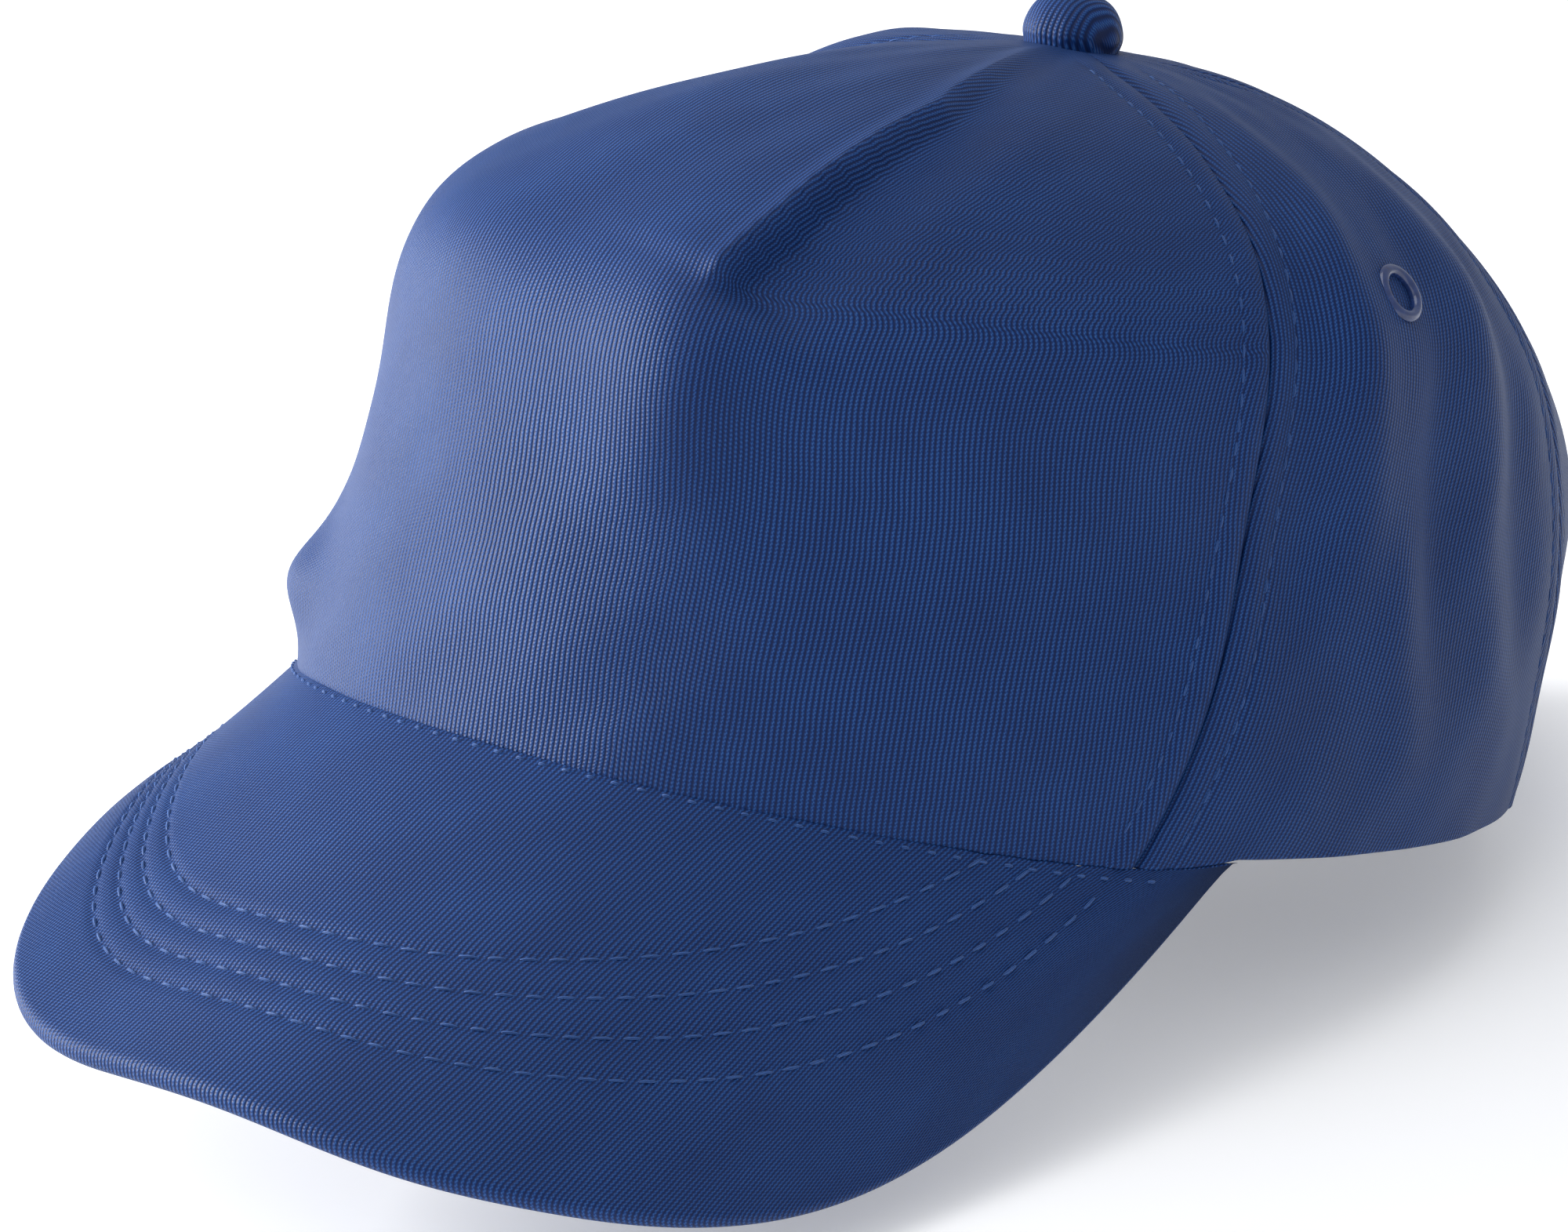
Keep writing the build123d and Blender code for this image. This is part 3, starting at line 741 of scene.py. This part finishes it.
def inset_row(distance):
    """Plan points of a line that runs a distance inside the visor's edge."""
    across, forward, x, arc = unrolled(outline_plan)
    flat = np.stack([across, forward], -1)
    along = unit(np.gradient(flat, axis=0))
    inward = np.stack([-along[:, 1], along[:, 0]], -1)
    line = flat + inward * distance
    plan_x = np.sign(line[:, 0]) * np.interp(np.abs(line[:, 0]), arc, x)
    plan = np.stack([plan_x, line[:, 1] / math.hypot(1, VISOR_SLOPE)], -1)
    rim = (plan[:, 0] / RIM_HALF_WIDTH) ** 2 + (plan[:, 1] / RIM_HALF_LENGTH) ** 2
    return plan[(rim > 1.004) & (plan[:, 1] < VISOR_END_Y)]


stitch_rows = [inset_row(distance) for distance in ROW_INSETS]


def visor_relief(plan):
    """Dents of the four stitch rows, and the soft swell between them."""
    relief = np.zeros(plan.shape[:-1])
    flat = plan.reshape(-1, 2)
    for row in stitch_rows:
        nearest = np.full(len(flat), 99.0)
        for k in range(0, len(flat), 4000):
            gaps = flat[k:k + 4000, None, :] - row[None, ::2, :]
            nearest[k:k + 4000] = np.sqrt((gaps**2).sum(-1).min(1))
        relief = relief - 0.34 * bell(nearest, 0.9).reshape(relief.shape)
    return relief


def visor_top(plan, depth=0.0, relief=True):
    x, y = plan[..., 0], plan[..., 1]
    step = 0.5
    along = visor_point(x + step, y) - visor_point(x - step, y)
    forward = visor_point(x, y + step) - visor_point(x, y - step)
    normal = unit(np.cross(along, forward))
    lift = -depth + (visor_relief(plan) if relief else 0 * x)
    return visor_point(x, y) + normal * lift[..., None], normal


def rim_plan(turn, grow):
    """Plan points on the rim's oval, grown by a share."""
    return np.stack([RIM_HALF_WIDTH * np.sin(turn), -RIM_HALF_LENGTH * np.cos(turn)], -1) * grow


def visor_plan(columns=260, rows=110):
    """Plan points from the crown out to where the edge starts to turn down."""
    edge = visor_outline(np.linspace(-1, 1, columns + 1))
    turn = np.radians(np.linspace(-VISOR_END_ANGLE, VISOR_END_ANGLE, columns + 1))
    rim = rim_plan(turn, VISOR_SEAM_GROW)
    reach = np.linalg.norm(edge - rim, axis=-1, keepdims=True)
    inset = np.minimum(VISOR_THICK / 2 / np.maximum(reach, 1e-6), 1.0)
    last = edge + (rim - edge) * inset
    share = np.linspace(0, 1, rows + 1)[:, None, None]
    return rim[None] + (last - rim)[None] * share


EDGE_TURNS = np.radians(np.array([18, 36, 54, 72, 86]))
EDGE_ROOM = 6.0
BOARD_SHARE, BOARD_ROWS, BOARD_COLUMNS = 0.985, slice(3, -4), slice(14, -14)


def build_visor():
    """Two covers that meet round the edge, and the board between them."""
    plan = visor_plan()
    top, normal = visor_top(plan)
    radius = VISOR_THICK / 2
    reach = np.linalg.norm(plan[-1] - plan[0], axis=-1)[:, None]
    outward = np.where(reach > 1.0, unit(top[-1] - top[-2]),
                       np.sign(plan[-1, :, :1]) * np.array([[1.0, 0, 0]]))
    outward = outward * np.clip(reach / EDGE_ROOM, 0.0, 1.0)
    middle = top[-1] - normal[-1] * radius

    def with_edge(face, size, side):
        bend = [middle + size * (side * normal[-1] * math.cos(a) + outward * math.sin(a))
                for a in EDGE_TURNS]
        return np.concatenate([face, np.array(bend)])

    def face(points, depth):
        return visor_top(points, depth, False)[0]

    cover = with_edge(top, radius, 1)
    inner = with_edge(face(plan, COVER), radius - COVER, 1)
    piece = cloth_shell("visor_top_cloth", cover, inner, -1.5)
    finish_piece(piece, "cap", TWILL, "twill", "visor_top_cover")
    declare(cover)
    below = with_edge(face(plan, VISOR_THICK), radius, -1)
    inner = with_edge(face(plan, VISOR_THICK - COVER), radius - COVER, -1)
    piece = cloth_shell("visor_under_cloth", below[:, ::-1], inner[:, ::-1], 1.5)
    finish_piece(piece, "cap", TWILL, "twill", "visor_under_cover")
    declare(below)
    inside = (plan[0] + (plan - plan[0]) * BOARD_SHARE)[BOARD_ROWS, BOARD_COLUMNS]
    board = cloth_shell("visor_board_insert", face(inside, BOARD_DEPTH),
                        face(inside, VISOR_THICK - BOARD_DEPTH))
    finish_piece(board, "cap", BOARD, "board", "visor_board")


build_visor()


# Stitches -----------------------------------------------------
STITCH_SWELL = np.array([0.45, 0.85, 1.0, 1.0, 0.85, 0.45])
STITCH_SINK = np.array([-0.35, -0.02, 0.06, 0.06, -0.02, -0.35]) / 0.24
THREAD_SIDES = 6


def stitch_mesh(name, runs, pitch=4.3, length=3.3, radius=0.24, lift=0.05):
    """Short plump threads along each run of (points, normals) in crown mm."""
    points, faces, coordinates = [], [], []
    rings, sides = len(STITCH_SWELL), THREAD_SIDES
    spots = np.linspace(0, 1, rings)
    around = np.linspace(0, 2 * math.pi, sides + 1)[:-1]
    cosine, sine = np.cos(around)[None, :, None], np.sin(around)[None, :, None]
    for line, normals in runs:
        gaps = np.linalg.norm(np.diff(line, axis=0), axis=-1)
        travelled = np.concatenate([[0], np.cumsum(gaps)])
        for start in np.arange(0.4, travelled[-1] - length, pitch):
            start = start + rng.uniform(-0.12, 0.12)
            at = start + spots * (length + rng.uniform(-0.25, 0.15))
            here = np.stack([np.interp(at, travelled, line[:, k]) for k in range(3)], -1)
            up = unit(np.stack([np.interp(at, travelled, normals[:, k]) for k in range(3)], -1))
            run = unit(np.gradient(here, axis=0))
            side = unit(np.cross(run, up))
            here = here + up * (lift + STITCH_SINK * radius)[:, None]
            first = len(points)
            out = cosine * side[:, None] + sine * up[:, None]
            ring = here[:, None] + radius * STITCH_SWELL[:, None, None] * out
            points.extend(ring.reshape(-1, 3))
            coordinates.extend((k * 0.3, at[j] * 1.4 + k * 0.4, 0)
                               for j in range(rings) for k in range(sides))
            for j in range(rings - 1):
                row = first + j * sides
                for k in range(sides):
                    n = (k + 1) % sides
                    faces.append((row + k, row + n, row + sides + n, row + sides + k))
            faces.append(tuple(first + k for k in reversed(range(sides))))
            faces.append(tuple(first + (rings - 1) * sides + k for k in range(sides)))
    piece = new_object(name, to_row(np.array(points)), faces, coordinates)
    return finish_piece(piece, "cap", THREAD, "twill")


SEAM_STITCH_TOP, SEAM_STITCH_LOW = 0.62, 5.93


def seam_run(seam, mirror, margin, low):
    level = np.linspace(SEAM_STITCH_TOP, low, 420)
    angle = seam_side(seam, mirror, margin)(level)
    return crown_at(angle, level), normal_of(crown_at, angle, level, 0.3, 0.015)


def arch_level(angle, grow):
    return float(lowest_level(np.array([angle]), TOP_LEVEL, grow)[0])


back_stop = arch_level(180.0, BINDING_WIDTH + 1.5)
seam_runs = []
for seam, mirror in SEAMS:
    low = back_stop if seam is BACK_SEAM else SEAM_STITCH_LOW
    for margin in (-SEAM_STITCH, SEAM_STITCH):
        seam_runs.append(seam_run(seam, mirror, margin, low))
stitch_mesh("crown_topstitching", seam_runs, pitch=3.5, length=2.7, radius=0.2)
stitch_mesh("visor_topstitching", [visor_top(row) for row in stitch_rows])

junction = rim_plan(np.radians(np.linspace(-74.0, 74.0, 300)), 1.008)
stitch_mesh("visor_seam_stitching", [visor_top(junction)], pitch=3.8, length=1.6, radius=0.26)


# Button -------------------------------------------------------
BUTTON_RADIUS, BUTTON_HEIGHT, BUTTON_SINK = 7.9, 8.9, 0.9


def add_button():
    """Cloth gathered over a domed shell, with soft pleats that run to its middle."""
    around = np.linspace(0, 2 * math.pi, 121)[:-1]
    climb = np.linspace(0, 1, 34)
    rise = np.sin(climb * math.pi / 2) ** 0.9
    reach = np.cos(climb * math.pi / 2) ** 0.62
    waist = 1 - 0.10 * bell(climb, 0.12)
    pleat = (np.cos(6 * around + 0.5) * 0.5 + np.cos(11 * around) * 0.25)[None, :]
    pleat = 1 + 0.030 * pleat * (bell(climb - 0.25, 0.35))[:, None]
    ring = BUTTON_RADIUS * (reach * waist)[:, None] * pleat
    across, forward = ring * np.sin(around), ring * np.cos(around)
    up = CROWN_HEIGHT - BUTTON_SINK + BUTTON_HEIGHT * rise[:, None] + 0 * ring
    points = np.stack([across, BUTTON_BACK - forward, up], -1)
    flat = np.stack([across, forward - 6 * rise[:, None], 0 * ring], -1)
    rows, count = len(climb), len(around)
    faces = []
    for r in range(rows - 1):
        for c in range(count):
            n = (c + 1) % count
            faces.append((r * count + c, r * count + n, (r + 1) * count + n, (r + 1) * count + c))
    faces.append(tuple(reversed(range(count))))
    faces.append(tuple((rows - 1) * count + c for c in range(count)))
    piece = new_object("top_button_cloth", to_row(points.reshape(-1, 3)), faces,
                       flat.reshape(-1, 3))
    finish_piece(piece, "cap", FINE_TWILL, "twill", "top_button_cover")


add_button()


# Eyelets ------------------------------------------------------
# Sections as (distance from the axis, height over the crown)
RING_SECTION = ((2.8, -1.6), (2.8, 0.15), (2.92, 0.45), (3.15, 0.72), (3.55, 0.86), (4.0, 0.78),
                (4.4, 0.52), (4.62, 0.2), (4.65, -0.05), (4.3, -0.1), (3.3, -0.1), (3.3, -1.6))
DISC_SECTION = ((3.45, -1.0), (3.45, -1.3), (3.6, -1.45), (4.2, -1.5), (4.4, -1.38), (4.4, -1.0))


def turned_section(name, section, centre, along, out):
    """A closed section turned round the axis `out` through the centre."""
    down = np.cross(along, out)
    around = np.linspace(0, 2 * math.pi, 73)[:-1]
    points = [centre + r * (math.cos(a) * along + math.sin(a) * down) + h * out
              for r, h in section for a in around]
    count, rings = len(around), len(section)
    faces = []
    for r in range(rings):
        here, beyond = r * count, (r + 1) % rings * count
        for c in range(count):
            n = (c + 1) % count
            faces.append((here + c, beyond + c, beyond + n, here + n))
    return new_object(name, to_row(np.array(points)), faces)


def add_eyelet(name, angle, level):
    """A rolled flange round a tube that goes through the cloth, and the washer behind it."""
    angle, level = np.array(float(angle)), np.array(float(level))
    centre = crown_at(angle, level, 0.0, False)
    along = unit(crown_base(angle + 1, level) - crown_base(angle - 1, level))
    out = normal_of(crown_base, angle, level, 0.2, 0.01)
    ring = turned_section(name + "_eyelet_ring", RING_SECTION, centre, along, out)
    finish_piece(ring, "cap", PAINT, "eyelet_paint", name + "_eyelet")
    disc = turned_section(name + "_eyelet_backing", DISC_SECTION, centre, along, out)
    finish_piece(disc, "cap", METAL, "eyelet_washer", name + "_eyelet_washer")


for vent, (angle, level) in EYELETS.items():
    add_eyelet(vent, angle, level)


# CAD nodes that stay ------------------------------------------
def dress(node, made):
    """Gives a CAD node its material, and the cloth coordinates that a weave needs."""
    mesh = frame["nodes"][node].data
    mesh.materials.clear()
    mesh.materials.append(made)
    if "cloth" not in mesh.attributes:
        x, y, z = (np.array([v.co for v in mesh.vertices]) / MM).T
        lay_cloth(mesh, np.stack([x + 0.3 * y, z + 0.6 * y, 0 * x], -1))


for node in frame["nodes"]:
    if node.startswith("top_button") and node != "top_button_cover":
        dress(node, METAL)
dress("care_label", SATIN)


# Lining -------------------------------------------------------
def add_layer(name, node, grid, depth, thick, made, slot):
    """A layer of the lining between two seams, a depth below the crown's surface."""
    angle, level = grid
    outer = crown_at(angle, level, depth, False)
    inner = crown_at(angle, level, depth + thick, False)
    piece = cloth_shell(name, outer, inner)
    finish_piece(piece, "cap", made, slot, node)
    declare(outer)


BACKING_MARGIN, BACKING_TOP, TAPE_TOP = 3.0, 0.6, 0.75
edges = [seam_side(FRONT_SEAM, side, -BACKING_MARGIN) for side in (-1, 1)]
add_layer("front_backing_buckram", "front_backing",
          crown_grid(*edges, BACKING_TOP, LINING_LEVEL, 120, 110), BACKING_DEPTH, BACKING,
          BUCKRAM, "backing")

tapes = ("front_left", "front_right", "rear_left", "rear_right", "centre_back")
for tape, (seam, mirror) in zip(tapes, SEAMS):
    low = arch_level(180.0, BINDING_WIDTH + 0.5) if seam is BACK_SEAM else LINING_LEVEL
    edges = [seam_side(seam, mirror, side * TAPE_WIDTH / 2) for side in (-1, 1)]
    add_layer(tape + "_seam_tape_weave", tape + "_seam_tape",
              crown_grid(*edges, TAPE_TOP, low, 10, 110), TAPE_DEPTH, TAPE, TAPE_WEAVE,
              "seam_tape")


# Sweatband ----------------------------------------------------
BAND_CLEAR = 0.25
BAND_GAP = ARCH_HALF_WIDTH + BINDING_WIDTH + BAND_CLEAR
BAND_END = 180.0 - math.degrees(BAND_GAP / (RIM_HALF_LENGTH - BUTTON_BACK))
BAND_PUFF, BAND_ROLL = 0.25, 0.35
FELT_INSET, FELT_LIFT = 2.0, 0.08


def band_levels(angle, height):
    """The level at which each column of the band reaches its top."""
    levels = np.linspace(3.0, RIM_LEVEL, 200)
    points = crown_base(angle[:, None] + 0 * levels[None], levels[None] + 0 * angle[:, None])
    return np.array([np.interp(-height, -z, levels) for z in points[..., 2]])


def add_band(name, node, depth, thick, made, slot, height, low, hem):
    """A band inside the rim, whose bottom edge comes out to a depth of hem."""
    angle = np.linspace(-BAND_END, BAND_END, 321)
    top, share = band_levels(angle, height), np.linspace(0, 1, 29)[:, None]
    level = top + (low - top) * share
    angle = angle + 0 * level
    puff = BAND_PUFF * np.sin(np.radians(angle) * 23 + level * 3) * np.sin(share * math.pi)
    depth = depth + puff + (hem - depth) * ease((level - LINING_LEVEL) / 0.1)
    outer = crown_at(angle, level, depth, False)
    inner = crown_at(angle, level, depth + thick + BAND_ROLL * np.sin(share * math.pi), False)
    piece = cloth_shell(name, outer, inner)
    finish_piece(piece, "cap", made, slot, node)
    declare(outer)


add_band("sweatband_cloth", "sweatband", BAND_DEPTH, BAND, SOFT_TWILL, "sweatband", BAND_TOP,
         RIM_LEVEL, PANEL + 0.15)
add_band("sweatband_felt", "sweatband_padding", PADDING_DEPTH, PADDING, FELT, "padding",
         BAND_TOP - FELT_INSET, LINING_LEVEL - FELT_LIFT, PADDING_DEPTH)


# Back opening -------------------------------------------------
def wall_tree():
    """The back of the crown, for rays cast from inside it."""
    angle, level = np.meshgrid(np.arange(112.0, 248.5, 1.0), np.arange(1.6, 6.06, 0.05))
    rows, count = angle.shape
    faces = [(r * count + c, r * count + c + 1, (r + 1) * count + c + 1, (r + 1) * count + c)
             for r in range(rows - 1) for c in range(count - 1)]
    return BVHTree.FromPolygons([tuple(p) for p in crown_at(angle, level).reshape(-1, 3)], faces)


WALL = wall_tree()
WALL_INSIDE, WALL_OUTSIDE = 20.0, 95.0


def on_wall(x, z, depth):
    """Points on the back wall at some x and z, a depth inside its surface."""
    shape = np.broadcast(x, z, depth).shape
    flat = (np.broadcast_to(v, shape).ravel() for v in (x, z, depth))
    found = []
    for px, pz, pd in zip(*flat):
        spot, normal, _, _ = WALL.ray_cast(Vector((px, WALL_INSIDE, pz)), Vector((0, 1, 0)))
        if spot is None:
            spot, normal, _, _ = WALL.find_nearest(Vector((px, WALL_OUTSIDE, pz)))
        if normal.y < 0:
            normal = -normal
        found.append(np.array(spot) - np.array(normal) * pd)
    return np.array(found).reshape(*shape, 3)


BINDING_LIFT, BINDING_EDGE_LIFT = 0.62, 0.37
BINDING_ROWS, BINDING_STITCH = (BINDING_WIDTH, 5.4, 3.6, 1.8, 0.6), 5.6


def add_binding():
    """A folded tape round the arch, lapped over both faces of the panels' edge."""
    turn = np.radians(np.linspace(1.0, 179.0, 181))[None, :]

    def face(grow, depth):
        x = (ARCH_HALF_WIDTH + grow) * np.cos(turn)
        z = RIM_BACK_RISE + (ARCH_HEIGHT + grow) * np.sin(turn)
        return on_wall(x, z, depth)

    lifts = [BINDING_EDGE_LIFT] + [BINDING_LIFT] * (len(BINDING_ROWS) - 1)
    outer = np.concatenate([face(g, -lift) for g, lift in zip(BINDING_ROWS, lifts)])
    inner = np.concatenate([face(g, PANEL + BINDING_LIFT) for g in BINDING_ROWS])
    piece = cloth_shell("back_opening_tape", outer, inner)
    finish_piece(piece, "cap", TAPE_WEAVE, "seam_tape", "back_opening_binding")
    declare(outer)
    line = face(BINDING_STITCH, -BINDING_LIFT)[0]
    normals = np.tile(unit(np.array([0.0, 1.0, 0.1])), (len(line), 1))
    stitch_mesh("back_opening_stitching", [(line, normals)], pitch=3.2, length=2.4, radius=0.2)


add_binding()


STRAP_CORNER, STRAP_HEM, STRAP_BLEND = 4.0, 1.6, 2.0
STRAP_START, STITCH_START, STITCH_STOP = 35.0, 26.0, 1.8


def strap_grid(left, right, depth, columns=60, rows=18):
    """Outer and inner faces of a strap across the opening, its far end rounded."""
    u = np.linspace(0, 1, columns + 1)[None, :]
    v = np.linspace(0, 1, rows + 1)[:, None]
    x = left + (right - left) * u
    reach = np.maximum(STRAP_CORNER - abs(left - right) * (1 - u), 0.0)
    bite = STRAP_CORNER - np.sqrt(np.maximum(STRAP_CORNER**2 - reach**2, 0))
    z = STRAP_MIDDLE + (STRAP_HEIGHT / 2 - bite) * (1 - 2 * v)
    x = x + 0 * v
    return on_wall(x, z, depth), on_wall(x, z, depth + STRAP_THICK)


def strap_stitches(name, body, root, tip, depth):
    """Stitches along both edges of a strap and across its free end."""
    low, high = (STRAP_MIDDLE + side * (STRAP_HEIGHT / 2 - STRAP_HEM) for side in (-1, 1))
    x, z = np.linspace(root, tip, 60), np.linspace(high, low, 40)
    lines = [on_wall(x, np.full_like(x, high), depth), on_wall(x, np.full_like(x, low), depth),
             on_wall(np.full_like(z, tip), z, depth)]
    runs = [(line, np.tile(np.array([0, 1.0, 0.0]), (len(line), 1))) for line in lines]
    piece = stitch_mesh(name, runs, pitch=2.9, length=2.2, radius=0.19, lift=0.04)
    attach(piece, body)


def add_strap(name, node, side, depth):
    """A strap from one side of the opening (-1 right, 1 left) to past its middle."""
    outer, inner = strap_grid(side * STRAP_START, -side * STRAP_LAP, depth)
    piece = cloth_shell(name, outer, inner, 90.0)
    finish_piece(piece, None, TWILL, "twill", node)
    declare(outer)
    start, end = (to_row(on_wall(np.array(side * (STRAP_ROOT + reach)), STRAP_MIDDLE, depth))
                  for reach in (STRAP_BLEND, -STRAP_BLEND))
    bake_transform(piece)


add_strap("hook_tab_cloth", "hook_tab", -1, TAB_DEPTH)
add_strap("loop_strap_cloth", "loop_strap", 1, LOOP_DEPTH)
strap_stitches("hook_tab_stitching", "hook_tab_body", -STITCH_START, STRAP_LAP - STITCH_STOP,
               TAB_DEPTH)
strap_stitches("loop_strap_stitching", "loop_strap_body", STITCH_START, -STRAP_LAP + STITCH_STOP,
               LOOP_DEPTH)
dress("hook_pad", TAPE_WEAVE)
dress("loop_pad", SOFT_TWILL)


# Stage --------------------------------------------------------
FLOOR_HALF, FLOOR_LEVEL = 3, -0.006
FLOOR_GREY, FLOOR_ROUGH, FLOOR_GLOW = 0.96, 0.9, 0.22


def add_floor():
    corners = [(-1, -1), (1, -1), (1, 1), (-1, 1)]
    floor = new_object("floor", [(x * FLOOR_HALF, y * FLOOR_HALF, FLOOR_LEVEL) for x, y in corners],
                       [(0, 1, 2, 3)])
    made, _, shader = material("pale_floor")
    shader["Base Color"].default_value = (FLOOR_GREY,) * 3 + (1,)
    shader["Roughness"].default_value = FLOOR_ROUGH
    shader["Emission Color"].default_value = (1.0, 1.0, 1.0, 1)
    shader["Emission Strength"].default_value = FLOOR_GLOW
    floor.data.materials.append(made)


def add_light(name, place, target, size, power, colour=(1, 1, 1)):
    data = bpy.data.lights.new(name, "AREA")
    data.size = size
    data.energy = power
    data.color = colour
    light = bpy.data.objects.new(name, data)
    light.location = place
    light.rotation_euler = (Vector(target) - Vector(place)).to_track_quat("-Z", "Y").to_euler()
    bpy.context.scene.collection.objects.link(light)


# Camera, found from the photo: degrees, and mm in the crown frame
CAMERA_TURN = [math.radians(v) for v in (44.67, 8.54, 8.08)]
CAMERA_TARGET, CAMERA_DISTANCE = np.array((6.39, -38.0, 20.43)), 1100.0
CAMERA_LENS, CAMERA_SENSOR = 172.24, 36.0


def camera_axes():
    """The camera's right, up and back directions in the crown frame, with its roll."""
    azimuth, elevation, roll = CAMERA_TURN
    flat = math.cos(elevation)
    back = np.array((math.sin(azimuth) * flat, -math.cos(azimuth) * flat, math.sin(elevation)))
    right = unit(np.cross((0, 0, 1), back))
    up = np.cross(back, right)
    return (right * math.cos(roll) + up * math.sin(roll),
            up * math.cos(roll) - right * math.sin(roll), back)


def add_camera():
    right, up, back = camera_axes()
    data = bpy.data.cameras.new("camera")
    data.lens = CAMERA_LENS
    data.sensor_width = CAMERA_SENSOR
    data.clip_start = 0.01
    camera = bpy.data.objects.new("camera", data)
    turn = np.stack([v @ np.stack([SIDE, BACK, UP]) for v in (right, up, back)], 1)
    place = to_row(CAMERA_TARGET + back * CAMERA_DISTANCE)
    matrix = Matrix(turn.tolist()).to_4x4()
    matrix.translation = Vector(place)
    camera.matrix_world = matrix
    bpy.context.scene.collection.objects.link(camera)
    bpy.context.scene.camera = camera


def add_world():
    world = bpy.data.worlds.new("studio")
    world.use_nodes = True
    world.node_tree.nodes["Background"].inputs["Color"].default_value = (0.93, 0.95, 1.0, 1)
    world.node_tree.nodes["Background"].inputs["Strength"].default_value = 0.50
    bpy.context.scene.world = world
    bpy.context.scene.view_settings.view_transform = "Standard"


add_floor()
add_camera()
add_world()
add_light("key", (-0.95, -0.60, 0.35), (0, -0.02, 0.06), 0.40, 24.0)
add_light("fill", (0.5, -1.1, 0.7), (0, 0, 0.06), 1.2, 3.5)
add_light("top", (-0.1, -0.1, 1.1), (0, 0, 0.06), 0.9, 5.0)
